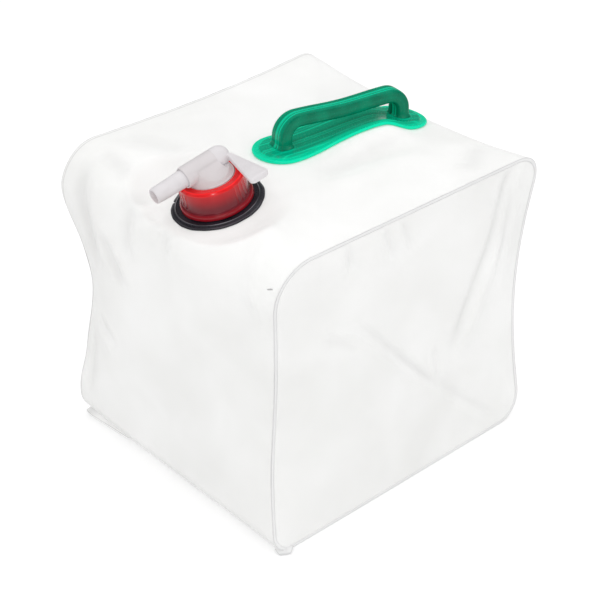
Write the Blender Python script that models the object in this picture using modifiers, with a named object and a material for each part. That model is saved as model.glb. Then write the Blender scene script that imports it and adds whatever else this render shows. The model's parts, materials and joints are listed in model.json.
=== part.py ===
"""Collapsible water carrier: a soft film cube with a screw-on tap and a carrying handle.

Frame: metres, +Z up, the origin at the middle of the base, the spout towards -Y.
The bag is one film wrapped over the top, down the front, under the base and up the back,
closed by a square panel welded into each side. The tap, its screw ring and the handle
stand on the top sheet.
"""

import math

import bmesh
import bpy
from mathutils import Matrix, Vector

# Clearance between pieces that touch, and the overrun of every cut
GAP = 0.0003
OVERRUN = 0.004

# Bag
BAG_WIDTH = 0.236
BAG_DEPTH = 0.259
BAG_HEIGHT = 0.2345
FILM_THICKNESS = 0.0004
SEAM_RADIUS = 0.0014
SEAM_CLEARANCE = 0.0005
FRONT_TOP_FOLD = 0.034
BACK_TOP_FOLD = 0.026
BACK_BASE_FOLD = 0.025
FRONT_BASE_FOLD = 0.017
EDGE_PINCH = 0.009
BACK_EDGE_SAG = 0.0115
SAG_REACH = 0.075
SAG_SHIFT = 0.022
LEFT_EDGE_SAG = 0.0035
CORNER_LIFT = 0.006

# Spigot: where it stands on the top sheet, and how far the sheet tips under it
SPIGOT_SIDE = 0.009
SPIGOT_SETBACK = 0.0450
SPIGOT_DIP = 0.0085
SPIGOT_TILT = math.radians(13)
SPIGOT_LEAN = math.radians(-3)
DISH_MARGIN = 0.007
DISH_CURL = 0.030
DISH_BLEND = 0.004

# Neck and its welded flange
NECK_BORE_RADIUS = 0.018
NECK_WALL = 0.0025
NECK_RISE = 0.0152
NECK_TAIL = 0.008
FLANGE_THICKNESS = 0.0016
FLANGE_BRIM = 0.007
RIDGE_HEIGHT = 0.0008
RIDGE_WIDTH = 0.0012
GASKET_THICKNESS = 0.0012

# Screw ring
THREAD_CLEARANCE = 0.001
RING_WALL = 0.0022
RING_FLARE = 0.0024
RING_SKIRT_HEIGHT = 0.0045
RING_LIP = 0.0043
RING_TOP_THICKNESS = 0.002
RING_BEVEL = 0.0014
RING_BASE_CLEARANCE = 0.0006
RIB_GROUPS = 3
RIBS_IN_GROUP = 4
RIB_PITCH = math.radians(9)
RIB_TURN = math.radians(15)
RIB_WIDTH = 0.0016
RIB_DEPTH = 0.0007

# Tap body
CLAMP_THICKNESS = 0.002
PLUG_CLEARANCE = 0.0004
PLUG_WALL = 0.0016
PLUG_DEPTH = 0.008
DOME_CLEARANCE = 0.0005
DOME_RISE = 0.0057
BARREL_RISE = 0.0090
BARREL_WALL = 0.0012
BARREL_FRONT = 0.0205
BARREL_YAW = math.radians(-4)
WEB_SPREAD = 0.0085
WEB_FLARE = 1.5
WEB_SINK = 0.0004
PORT_RADIUS = 0.0032
PORT_LAND = 0.0012

# Rotor: spout, plug, hub and lever in one moulding
ROTOR_RADIUS = 0.0063
SPOUT_BORE_RADIUS = 0.0045
SPOUT_LENGTH = 0.0247
SPOUT_TIP_RADIUS = 0.0057
HUB_LENGTH = 0.0132
HUB_DOME = 0.009
LEVER_REACH = 0.0454
LEVER_ROOT_WIDTH = 0.004
LEVER_NECK = 0.008
LEVER_NECK_WIDTH = 0.0042
LEVER_NECK_SHIFT = 0.0035
LEVER_TIP_WIDTH = 0.0160
LEVER_TIP_SHIFT = 0.0005
LEVER_CORNER = 0.0035
LEVER_THICKNESS = 0.0052
LEVER_ROUNDING = 0.0011
LEVER_RISE = math.radians(0.5)

# Handle
HANDLE_SIDE = 0.0027
HANDLE_BACK = 0.0375
HANDLE_YAW = math.radians(-9.5)
HANDLE_CAMBER = 0.0082
CAMBER_PEAK = 0.024
CAMBER_FADE = 0.030
TROUGH_DEPTH = 0.004
PLATE_LENGTH = 0.145
PLATE_END_WIDTH = 0.043
PLATE_WAIST_WIDTH = 0.037
PLATE_THICKNESS = 0.0018
PAD_INSET = 0.0055
PAD_HEIGHT = 0.0014
BOSS_MARGIN = 0.0028
BOSS_HEIGHT = 0.0008
PLATE_CLEARANCE = 0.0009
GRIP_SPAN = 0.102
GRIP_HEIGHT = 0.0275
BAR_WIDTH = 0.013
BAR_THICKNESS = 0.0105
BAR_SAG = 0.0015
LEG_WIDTH = 0.015
LEG_THICKNESS = 0.0105
SHOULDER_RADIUS = 0.012

# Fineness
ROUND_STEPS = 40
FINE_STEPS = 32
BORE_STEPS = 20
ARC_STEPS = 6
SEAM_SIDES_RESOLUTION = 1
SEAM_RUN_STEPS = 7
FRONT_FOLD_STEPS = 10
TOP_COLUMNS = 20
TOP_FRONT_ROWS = 11
TOP_BACK_ROWS = 16
WALL_COLUMNS = 8
WALL_ROWS = 7
BASE_COLUMNS = 6
BASE_ROWS = 4
PANEL_COLUMNS = 10
PANEL_ROWS = 6
PLATE_ROWS = 30
PLATE_COLUMNS = 6
BAR_STATIONS = 4
CROWDING_SHARE = 0.4
MERGE_DISTANCE = 0.00001

# Worked out from the sizes above
HALF_WIDTH = BAG_WIDTH / 2
HALF_DEPTH = BAG_DEPTH / 2
STRIP_HALF = HALF_WIDTH - 2 * SEAM_RADIUS - SEAM_CLEARANCE
SPIGOT_Y = SPIGOT_SETBACK - HALF_DEPTH
SPIGOT_Z = BAG_HEIGHT - SPIGOT_DIP
NECK_RADIUS = NECK_BORE_RADIUS + NECK_WALL
RING_BORE = NECK_RADIUS + THREAD_CLEARANCE
RING_RADIUS = RING_BORE + RING_WALL
SKIRT_RADIUS = RING_RADIUS + RING_FLARE
FLANGE_RADIUS = SKIRT_RADIUS + FLANGE_BRIM
LIP_BORE = RING_BORE - RING_LIP
FLANGE_TOP = GAP + FLANGE_THICKNESS
NECK_TOP = FLANGE_TOP + NECK_RISE
GASKET_BASE = NECK_TOP + GAP
CLAMP_BASE = GASKET_BASE + GASKET_THICKNESS + GAP
CLAMP_TOP = CLAMP_BASE + CLAMP_THICKNESS
RING_BASE = FLANGE_TOP + RING_BASE_CLEARANCE
RING_TOP = CLAMP_TOP + GAP + RING_TOP_THICKNESS
PLUG_RADIUS = NECK_BORE_RADIUS - PLUG_CLEARANCE
DOME_RADIUS = LIP_BORE - DOME_CLEARANCE
AXIS_RISE = RING_TOP + BARREL_RISE
BARREL_BORE = ROTOR_RADIUS + GAP
BARREL_RADIUS = BARREL_BORE + BARREL_WALL
BARREL_BACK = PORT_RADIUS + PORT_LAND
HUB_RADIUS = BARREL_RADIUS
GRIP_FOOT = PLATE_THICKNESS + PAD_HEIGHT + BOSS_HEIGHT + GAP

# Section of the grip: shares of its width and thickness, round the outline from the lower right;
# the upper face carries three ridges with two grooves between them
GRIP_SECTION_SHARES = (
    (0.34, -0.50), (0.46, -0.40), (0.50, -0.20), (0.50, 0.20), (0.47, 0.40), (0.38, 0.49),
    (0.26, 0.50), (0.20, 0.43), (0.13, 0.43), (0.08, 0.50), (-0.08, 0.50), (-0.13, 0.43),
    (-0.20, 0.43), (-0.26, 0.50), (-0.38, 0.49), (-0.47, 0.40), (-0.50, 0.20), (-0.50, -0.20),
    (-0.46, -0.40), (-0.34, -0.50),
)


def new_collection(name):
    """Add an empty collection to the scene."""
    collection = bpy.data.collections.new(name)
    bpy.context.scene.collection.children.link(collection)
    return collection


for leftover in list(bpy.data.objects):
    bpy.data.objects.remove(leftover, do_unlink=True)

PARTS = new_collection("collapsible_water_carrier")
CUTTERS = new_collection("cutters")


# Materials
def plastic(name, colour, roughness, transmission=0.0):
    """A plain plastic with its own colour, gloss and see-through share."""
    material = bpy.data.materials.new(name)
    material.use_nodes = True
    shader = material.node_tree.nodes["Principled BSDF"]
    shader.inputs["Base Color"].default_value = (*colour, 1)
    shader.inputs["Roughness"].default_value = roughness
    shader.inputs["Metallic"].default_value = 0
    shader.inputs["Transmission Weight"].default_value = transmission
    return material


def film_material(name):
    """Frosted polyethylene film."""
    return plastic(name, (0.90, 0.90, 0.89), 0.35, 0.3)


def seam_material(name):
    """The same film welded double, a shade greyer."""
    return plastic(name, (0.72, 0.72, 0.71), 0.3)


def flange_material(name):
    """Black polyethylene."""
    return plastic(name, (0.016, 0.016, 0.023), 0.4)


def ring_material(name):
    """Glossy red polypropylene."""
    return plastic(name, (0.58, 0.008, 0.014), 0.22)


def tap_material(name):
    """Milky natural polyethylene."""
    return plastic(name, (0.78, 0.75, 0.78), 0.35)


def gasket_material(name):
    """Soft grey foam."""
    return plastic(name, (0.35, 0.35, 0.36), 0.8)


def handle_material(name):
    """Glossy green polyethylene."""
    return plastic(name, (0.0, 0.33, 0.15), 0.22)


# Objects
def meshed(curve, name):
    """Turn a filled curve into a cutter's mesh."""
    source = bpy.data.objects.new(name + "_curve", curve)
    bpy.context.scene.collection.objects.link(source)
    bpy.context.view_layer.update()
    bm = bmesh.new()
    bm.from_mesh(source.to_mesh())
    bmesh.ops.remove_doubles(bm, verts=bm.verts, dist=MERGE_DISTANCE)
    source.to_mesh_clear()
    bpy.data.objects.remove(source, do_unlink=True)
    return add_object(name, mesh_from(bm, name), CUTTERS)


def add_object(name, mesh, collection, material=None):
    """Link a mesh as a named object and give it its material."""
    obj = bpy.data.objects.new(name, mesh)
    collection.objects.link(obj)
    if material is not None:
        mesh.materials.clear()
        mesh.materials.append(material(name + "_plastic"))
    return obj


def mesh_from(bm, name):
    """Turn a bmesh into a mesh and free it."""
    mesh = bpy.data.meshes.new(name)
    bm.to_mesh(mesh)
    bm.free()
    return mesh


def shade(obj):
    """Shade smooth except across real corners."""
    obj.data.shade_smooth()
    obj.data.set_sharp_from_angle(angle=math.radians(35))
    return obj


def empty(name, location, rotation, parent=None):
    """A frame that pieces are parented to."""
    frame = bpy.data.objects.new(name, None)
    PARTS.objects.link(frame)
    frame.location = location
    frame.rotation_euler = rotation
    frame.parent = parent
    return frame


def as_cutter(obj):
    """Hide a cutter from the build and draw it as wires."""
    obj.hide_render = True
    obj.display_type = "WIRE"
    return obj


def cylinder(name, radius, length, collection, steps=FINE_STEPS):
    """An upright cylinder with its lower end on z = 0."""
    bm = bmesh.new()
    bmesh.ops.create_cone(
        bm, cap_ends=True, segments=steps, radius1=radius, radius2=radius, depth=length
    )
    bmesh.ops.translate(bm, verts=bm.verts, vec=(0, 0, length / 2))
    return add_object(name, mesh_from(bm, name), collection)


def turned(name, profile, collection, material=None, closed=True, steps=ROUND_STEPS):
    """Turn a profile of (radius, height) points about Z; the outer side runs from top to bottom."""
    bm = bmesh.new()
    verts = [bm.verts.new((radius, 0, height)) for radius, height in profile]
    for first, second in zip(verts, verts[1:]):
        bm.edges.new((first, second))
    if closed:
        bm.edges.new((verts[-1], verts[0]))
    obj = add_object(name, mesh_from(bm, name), collection, material)
    screw = obj.modifiers.new("turn", "SCREW")
    screw.axis = "Z"
    screw.steps = steps
    screw.render_steps = steps
    screw.use_merge_vertices = True
    screw.merge_threshold = MERGE_DISTANCE
    screw.use_smooth_shade = True
    return obj


def combine(obj, other, operation, name):
    """Add a boolean step to a piece."""
    step = obj.modifiers.new(name, "BOOLEAN")
    step.object = other
    step.operation = operation
    step.solver = "EXACT"
    return obj


def cut(obj, cutter):
    """Take a cutter's shape out of a piece."""
    return combine(obj, as_cutter(cutter), "DIFFERENCE", "cut_" + cutter.name)


def join(obj, tool):
    """Fuse another shape into a piece."""
    return combine(obj, as_cutter(tool), "UNION", "join_" + tool.name)


def place(obj, parent, location=(0, 0, 0), rotation=(0, 0, 0)):
    """Set an object in its parent's frame."""
    obj.parent = parent
    obj.location = location
    obj.rotation_euler = rotation
    return obj


# Form of the bag
def ramp(value):
    """Rise smoothly from 0 to 1 as the value does."""
    held = min(max(value, 0), 1)
    return held * held * (3 - 2 * held)


def soft_min(first, second, blend):
    """The lower of two heights, rounded where they come within the blend of each other."""
    near = max(blend - abs(first - second), 0)
    return min(first, second) - near * near / (4 * blend)


def handle_frame(x, y):
    """Place of a point across and along the handle."""
    across = Vector((x - HANDLE_SIDE, y - HANDLE_BACK))
    turned_back = Matrix.Rotation(-HANDLE_YAW, 2) @ across
    return turned_back.x, turned_back.y


def camber(x, y):
    """Lift of the top sheet between the feet of the handle, with a trough under the grip."""
    across, along = handle_frame(x, y)
    half = PLATE_WAIST_WIDTH / 2
    run = GRIP_SPAN / 2 + CAMBER_PEAK if along < CAMBER_PEAK else GRIP_SPAN / 2 - CAMBER_PEAK
    lengthwise = ramp(1 - abs(along - CAMBER_PEAK) / run)
    beside = ramp(1 - (abs(across) - half) / CAMBER_FADE)
    trough = max(1 - (across / half) ** 2, 0)
    return lengthwise * (HANDLE_CAMBER * beside - TROUGH_DEPTH * trough)


def back_sag(x, y):
    """Drop of the top sheet towards its unsupported back fold."""
    offset = x - SAG_SHIFT * (1 - (x / HALF_WIDTH) ** 2)
    crosswise = max(1 - (offset / HALF_WIDTH) ** 2, 0)
    backwards = max(1 - (HALF_DEPTH - y) / SAG_REACH, 0)
    return BACK_EDGE_SAG * crosswise * backwards ** 2


def edge_lift(x, y):
    """Slack of the left edge of the top sheet, and the lift of its far corner."""
    sideways = max(-x / HALF_WIDTH, 0)
    slack = LEFT_EDGE_SAG * sideways ** 2 * max(1 - (y / HALF_DEPTH) ** 2, 0)
    return CORNER_LIFT * max((y / HALF_DEPTH - x / HALF_WIDTH) / 2, 0) ** 4 - slack


def top_height(x, y):
    """Height of the top sheet before its folds and the dish under the spigot."""
    return BAG_HEIGHT + camber(x, y) - back_sag(x, y) + edge_lift(x, y)


def dish_height(x, y):
    """Height of the tipped seat that the spigot's flange holds flat, curling up outside it."""
    fore = (y - SPIGOT_Y) * math.tan(SPIGOT_TILT) / math.cos(SPIGOT_LEAN)
    seat = SPIGOT_Z + fore - (x - SPIGOT_SIDE) * math.tan(SPIGOT_LEAN)
    distance = math.hypot(x - SPIGOT_SIDE, y - SPIGOT_Y)
    outside = max(distance - FLANGE_RADIUS - DISH_MARGIN, 0)
    return seat + outside * outside / (2 * DISH_CURL)


def warp(x, y, z):
    """Move a point of the plain rounded box to its place on the soft bag.

    The upright edges draw in at mid height, the top follows its crown, sag and dish,
    and the walls below take a fading share of the top's movement.
    """
    waist = EDGE_PINCH * math.sin(math.pi * min(max(z / BAG_HEIGHT, 0), 1))
    soft_x = x * (1 - waist / HALF_WIDTH * min(abs(y) / HALF_DEPTH, 1) ** 3)
    soft_y = y * (1 - waist / HALF_DEPTH * min(abs(x) / HALF_WIDTH, 1) ** 3)
    moved = (top_height(x, y) - BAG_HEIGHT) * max(z / BAG_HEIGHT, 0) ** 6
    soft_z = soft_min(z + moved, dish_height(soft_x, soft_y), DISH_BLEND)
    return Vector((soft_x, soft_y, soft_z))


def outline_corners(inset):
    """Centres, radii and first angles of the side outline's four rounded corners, from top front."""
    front, back = inset - HALF_DEPTH, HALF_DEPTH - inset
    base, top = inset, BAG_HEIGHT - inset
    corners = []
    for y, z, fold, turn_y, turn_z, start in (
        (front, top, FRONT_TOP_FOLD, 1, -1, math.pi),
        (back, top, BACK_TOP_FOLD, -1, -1, math.pi / 2),
        (back, base, BACK_BASE_FOLD, -1, 1, 0),
        (front, base, FRONT_BASE_FOLD, 1, 1, -math.pi / 2),
    ):
        radius = fold - inset
        corners.append((y + turn_y * radius, z + turn_z * radius, radius, start))
    return corners


def corner_points(corner, steps):
    """Points (y, z) round one corner of the side outline, in the order front, top, back, base."""
    y, z, radius, start = corner
    return [
        (
            y + radius * math.cos(start - math.pi / 2 * step / steps),
            z + radius * math.sin(start - math.pi / 2 * step / steps),
        )
        for step in range(steps + 1)
    ]


def between(first, second, steps):
    """Points strictly between two points of the side outline."""
    return [
        (
            first[0] + (second[0] - first[0]) * step / steps,
            first[1] + (second[1] - first[1]) * step / steps,
        )
        for step in range(1, steps)
    ]


def outline(inset, straight_steps):
    """The whole side outline, drawn in by the inset, as a closed list of (y, z)."""
    arcs = [corner_points(corner, ARC_STEPS) for corner in outline_corners(inset)]
    points = []
    for index, arc in enumerate(arcs):
        following = arcs[(index + 1) % len(arcs)]
        points += arc
        points += between(arc[-1], following[0], straight_steps)
    return points


def film(name, across, rows, outward, crowding_share=0.0):
    """A strip or panel of film: a grid laid through the bag's form, then given its thickness.

    across is the count of cells in one direction, rows holds pairs of end points for each
    line of the grid, and outward says which way its outer face looks. The crowding share
    draws the grid's lines together towards the middle.
    """
    bm = bmesh.new()
    bmesh.ops.create_grid(
        bm, x_segments=across, y_segments=len(rows) - 1, size=0.5
    )
    bm.verts.ensure_lookup_table()
    for vert in bm.verts:
        reach = 2 * vert.co.x
        crowded = reach * (1 - crowding_share) + crowding_share * reach ** 3
        share = (crowded + 1) / 2
        row = round((vert.co.y + 0.5) * (len(rows) - 1))
        start, end = rows[row]
        vert.co = warp(*(Vector(start).lerp(Vector(end), share)))
    bm.normal_update()
    if sum(face.normal.dot(Vector(outward)) for face in bm.faces) < 0:
        bmesh.ops.reverse_faces(bm, faces=bm.faces)
    obj = add_object(name, mesh_from(bm, name), PARTS, film_material)
    wall = obj.modifiers.new("film", "SOLIDIFY")
    wall.thickness = FILM_THICKNESS
    wall.offset = -1
    return shade(obj)


def strip_rows(points):
    """Rows of a wrap strip: each outline point carried across from seam to seam."""
    return [((-STRIP_HALF, y, z), (STRIP_HALF, y, z)) for y, z in points]


def trimmed(points):
    """The same line with a gap's length taken off at both ends."""
    first, last = Vector(points[0]), Vector(points[-1])
    first += (Vector(points[1]) - first).normalized() * GAP
    last += (Vector(points[-2]) - last).normalized() * GAP
    return [tuple(first), *points[1:-1], tuple(last)]


def straight(first, second, steps):
    """A line of the outline with its two end points."""
    return [first, *between(first, second, steps), second]


def make_wrap():
    """The film that goes round the bag, as four strips that part at their folds."""
    steps = (FRONT_FOLD_STEPS, ARC_STEPS, ARC_STEPS, ARC_STEPS)
    corners = zip(outline_corners(0), steps)
    top_front, top_back, base_back, base_front = [corner_points(*item) for item in corners]
    crest = (HANDLE_BACK, BAG_HEIGHT)
    fore = straight(top_front[-1], crest, TOP_FRONT_ROWS)
    aft = straight(crest, top_back[0], TOP_BACK_ROWS)
    over = top_front[:-1] + fore + aft[1:] + top_back[1:]
    behind = straight(top_back[-1], base_back[0], WALL_ROWS) + base_back[1:]
    under = straight(base_back[-1], base_front[0], BASE_ROWS)
    ahead = base_front[:-1] + straight(base_front[-1], top_front[0], WALL_ROWS)
    film("back_wall", WALL_COLUMNS, strip_rows(trimmed(behind)), (0, 1, 0))
    film("base_sheet", BASE_COLUMNS, strip_rows(trimmed(under)), (0, 0, -1))
    film("front_wall", WALL_COLUMNS, strip_rows(trimmed(ahead)), (0, -1, 0))
    return film("top_sheet", TOP_COLUMNS, strip_rows(trimmed(over)), (0, 0, 1), CROWDING_SHARE)


def level_ends(height, inset):
    """Front and back ends of the side outline at one height."""
    ends = []
    top_front, top_back, base_back, base_front = outline_corners(inset)
    for upper, lower, sign in ((top_front, base_front, -1), (top_back, base_back, 1)):
        y, z, radius, _ = upper if height > upper[1] else lower
        rise = height - z
        in_fold = height > upper[1] or height < lower[1]
        reach = math.sqrt(max(radius ** 2 - rise ** 2, 0)) if in_fold else radius
        ends.append(y + sign * reach)
    return ends


def panel_levels(inset):
    """Heights of a side panel's rows, closest together in the rounded corners."""
    top_front, _, base_back, _ = outline_corners(inset)
    sines = [math.sin(math.pi / 2 * step / ARC_STEPS) for step in range(ARC_STEPS + 1)]
    upper = [top_front[1] + top_front[2] * sine for sine in sines]
    lower = [base_back[1] - base_back[2] * sine for sine in sines]
    span = upper[0] - lower[0]
    middle = [lower[0] + span * step / PANEL_ROWS for step in range(1, PANEL_ROWS)]
    return lower[::-1] + middle + upper


def make_panel(name, side):
    """A side panel inside its seam."""
    inset = 2 * SEAM_RADIUS + SEAM_CLEARANCE
    x = side * (HALF_WIDTH - SEAM_RADIUS + FILM_THICKNESS / 2)
    rows = []
    for height in panel_levels(inset):
        front, back = level_ends(height, inset)
        rows.append(((x, front, height), (x, back, height)))
    return film(name, PANEL_COLUMNS, rows, (side, 0, 0))


def make_seam(name, side):
    """The welded bead round a side panel, a closed tube along the bag's edge."""
    points = outline(SEAM_RADIUS, SEAM_RUN_STEPS)
    curve = bpy.data.curves.new(name, "CURVE")
    curve.dimensions = "3D"
    spline = curve.splines.new("POLY")
    spline.points.add(len(points) - 1)
    for point, (y, z) in zip(spline.points, points):
        point.co = (*warp(side * (HALF_WIDTH - SEAM_RADIUS), y, z), 1)
    spline.use_cyclic_u = True
    curve.bevel_depth = SEAM_RADIUS
    curve.bevel_resolution = SEAM_SIDES_RESOLUTION
    curve.materials.append(seam_material(name + "_plastic"))
    obj = bpy.data.objects.new(name, curve)
    PARTS.objects.link(obj)
    return obj


# Spigot
def make_neck(frame):
    """The black flange on the film, with the neck that the ring screws on to."""
    ridge = SKIRT_RADIUS + RIDGE_WIDTH
    rim = FLANGE_RADIUS - RIDGE_WIDTH
    profile = [
        (NECK_BORE_RADIUS, NECK_TOP),
        (NECK_RADIUS, NECK_TOP),
        (NECK_RADIUS, FLANGE_TOP),
        (ridge, FLANGE_TOP),
        (ridge + RIDGE_WIDTH / 3, FLANGE_TOP + RIDGE_HEIGHT),
        (ridge + 2 * RIDGE_WIDTH / 3, FLANGE_TOP + RIDGE_HEIGHT),
        (ridge + RIDGE_WIDTH, FLANGE_TOP),
        (rim, FLANGE_TOP),
        (rim + RIDGE_WIDTH / 2, FLANGE_TOP + RIDGE_HEIGHT / 2),
        (FLANGE_RADIUS, FLANGE_TOP),
        (FLANGE_RADIUS, GAP),
        (NECK_RADIUS, GAP),
        (NECK_RADIUS, -NECK_TAIL),
        (NECK_BORE_RADIUS, -NECK_TAIL),
    ]
    return place(turned("neck_flange", profile, PARTS, flange_material), frame)


def make_gasket(frame):
    """The flat washer between the neck's rim and the tap."""
    profile = [
        (NECK_BORE_RADIUS, GASKET_BASE + GASKET_THICKNESS),
        (NECK_RADIUS, GASKET_BASE + GASKET_THICKNESS),
        (NECK_RADIUS, GASKET_BASE),
        (NECK_BORE_RADIUS, GASKET_BASE),
    ]
    return place(turned("gasket", profile, PARTS, gasket_material), frame)


def make_ring(frame):
    """The ribbed ring that clamps the tap on to the neck."""
    skirt_top = RING_BASE + RING_SKIRT_HEIGHT
    lip_base = RING_TOP - RING_TOP_THICKNESS
    profile = [
        (LIP_BORE, RING_TOP),
        (RING_RADIUS - RING_BEVEL, RING_TOP),
        (RING_RADIUS, RING_TOP - RING_BEVEL),
        (RING_RADIUS, skirt_top),
        (SKIRT_RADIUS - RING_BEVEL, skirt_top - RING_BEVEL),
        (SKIRT_RADIUS, skirt_top - 2 * RING_BEVEL),
        (SKIRT_RADIUS, RING_BASE),
        (RING_BORE, RING_BASE),
        (RING_BORE, lip_base),
        (LIP_BORE, lip_base),
    ]
    ring = turned("screw_ring", profile, PARTS, ring_material)
    ribs_height = RING_TOP - 2 * RING_BEVEL - skirt_top
    bm = bmesh.new()
    for index in range(RIB_GROUPS * RIBS_IN_GROUP):
        group, member = divmod(index, RIBS_IN_GROUP)
        spread = RIB_PITCH * (member - (RIBS_IN_GROUP - 1) / 2)
        turn = Matrix.Rotation(RIB_TURN + 2 * math.pi * group / RIB_GROUPS + spread, 4, "Z")
        centre = turn @ Vector((RING_RADIUS, 0, skirt_top + RING_BEVEL / 2 + ribs_height / 2))
        rib = bmesh.ops.create_cube(bm, size=1)["verts"]
        bmesh.ops.scale(bm, verts=rib, vec=(2 * RIB_DEPTH, RIB_WIDTH, ribs_height))
        bmesh.ops.rotate(bm, verts=rib, matrix=turn, cent=(0, 0, 0))
        bmesh.ops.translate(bm, verts=rib, vec=centre)
    ribs = add_object("ring_ribs", mesh_from(bm, "ring_ribs"), CUTTERS)
    place(ribs, frame)
    join(ring, ribs)
    return place(ring, frame)


def dome_points():
    """The dome from the ring's bore up to its crown inside the barrel, crown first."""
    foot = RING_TOP + GAP
    points = []
    for step in range(ARC_STEPS):
        angle = math.pi / 2 * step / ARC_STEPS
        points.append((DOME_RADIUS * math.cos(angle), foot + DOME_RISE * math.sin(angle)))
    return [(0, foot + DOME_RISE), *points[::-1]]


def along_barrel(obj, frame, start):
    """Lay an upright shape along the barrel, its lower end at start, running back."""
    return place(obj, frame, (0, start, 0), (-math.pi / 2, 0, 0))


def prism(name, points, thickness):
    """A flat outline in XY, filled and given its thickness about z = 0."""
    curve = bpy.data.curves.new(name, "CURVE")
    curve.dimensions = "2D"
    curve.fill_mode = "BOTH"
    spline = curve.splines.new("POLY")
    spline.points.add(len(points) - 1)
    for point, (first, second) in zip(spline.points, points):
        point.co = (first, second, 0, 1)
    spline.use_cyclic_u = True
    curve.extrude = thickness / 2
    return meshed(curve, name)


def make_web(frame, barrel_frame):
    """The web that carries the barrel: flanks spread from its sides to the dome, inside the ring."""
    drop = AXIS_RISE - RING_TOP - GAP
    flank = []
    for step in range(ARC_STEPS + 1):
        share = step / ARC_STEPS
        spread = WEB_SPREAD * (1 - share) ** WEB_FLARE
        flank.append((BARREL_RADIUS - WEB_SINK + spread, drop * (share - 1)))
    outline = [*flank, *[(-across, height) for across, height in reversed(flank)]]
    web = prism("web", outline, BARREL_FRONT + BARREL_BACK - 2 * GAP)
    place(web, barrel_frame, (0, (BARREL_BACK - BARREL_FRONT) / 2, 0), (math.pi / 2, 0, 0))
    limit = cylinder("web_limit", DOME_RADIUS - GAP, drop + 2 * OVERRUN, CUTTERS)
    place(as_cutter(limit), frame, (0, 0, RING_TOP + GAP - OVERRUN))
    return combine(web, limit, "INTERSECT", "keep_in_ring")


def make_tap_body(frame, barrel_frame):
    """The fixed part of the tap: plug, rim, dome, web and barrel, bored for the water."""
    profile = [
        *dome_points(),
        (DOME_RADIUS, CLAMP_TOP),
        (RING_BORE - GAP, CLAMP_TOP),
        (RING_BORE - GAP, CLAMP_BASE),
        (PLUG_RADIUS, CLAMP_BASE),
        (PLUG_RADIUS, CLAMP_BASE - PLUG_DEPTH),
        (0, CLAMP_BASE - PLUG_DEPTH),
    ]
    body = turned("tap_body", profile, PARTS, tap_material, closed=False)
    barrel_length = BARREL_FRONT + BARREL_BACK
    barrel = cylinder("barrel", BARREL_RADIUS, barrel_length, CUTTERS)
    join(body, along_barrel(barrel, barrel_frame, -BARREL_FRONT))
    join(body, make_web(frame, barrel_frame))
    bore = cylinder("barrel_bore", BARREL_BORE, barrel_length + 2 * OVERRUN, CUTTERS)
    cut(body, along_barrel(bore, barrel_frame, -BARREL_FRONT - OVERRUN))
    cavity_depth = PLUG_DEPTH + CLAMP_THICKNESS
    cavity = cylinder("plug_cavity", PLUG_RADIUS - PLUG_WALL, cavity_depth, CUTTERS)
    cut(body, place(cavity, frame, (0, 0, CLAMP_TOP - PLUG_WALL - cavity_depth)))
    channel_length = AXIS_RISE - CLAMP_BASE
    channel = cylinder("water_channel", PORT_RADIUS, channel_length, CUTTERS, BORE_STEPS)
    cut(body, place(channel, frame, (0, 0, CLAMP_BASE)))
    room_radius = HUB_RADIUS + 2 * GAP
    room = cylinder("hub_room", room_radius, HUB_LENGTH + OVERRUN, CUTTERS)
    cut(body, along_barrel(room, barrel_frame, BARREL_BACK))
    return place(body, frame)


def lever_outline():
    """Plan of the lever: it leaves the hub's far end and widens to a tip with rounded corners."""
    root, neck, tip = LEVER_ROOT_WIDTH / 2, LEVER_NECK_WIDTH / 2, LEVER_TIP_WIDTH / 2
    end = LEVER_REACH - LEVER_CORNER
    points = [(0, -root), (LEVER_NECK, LEVER_NECK_SHIFT - neck)]
    for side, start in ((-1, -math.pi / 2), (1, 0)):
        for step in range(ARC_STEPS + 1):
            angle = start + math.pi / 2 * step / ARC_STEPS
            across = side * (tip - LEVER_CORNER) + LEVER_CORNER * math.sin(angle)
            points.append((end + LEVER_CORNER * math.cos(angle), across + LEVER_TIP_SHIFT))
    points.extend([(LEVER_NECK, LEVER_NECK_SHIFT + neck), (0, root)])
    return points


def make_lever(barrel_frame):
    """The paddle-shaped lever, its plan extruded and its edges rounded."""
    lever = prism("lever", lever_outline(), LEVER_THICKNESS)
    edge = lever.modifiers.new("round", "BEVEL")
    edge.width = LEVER_ROUNDING
    edge.segments = 2
    edge.limit_method = "ANGLE"
    centre = BARREL_BACK + GAP + HUB_LENGTH / 2
    return place(lever, barrel_frame, (0, centre, 0), (0, -LEVER_RISE, 0))


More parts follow.
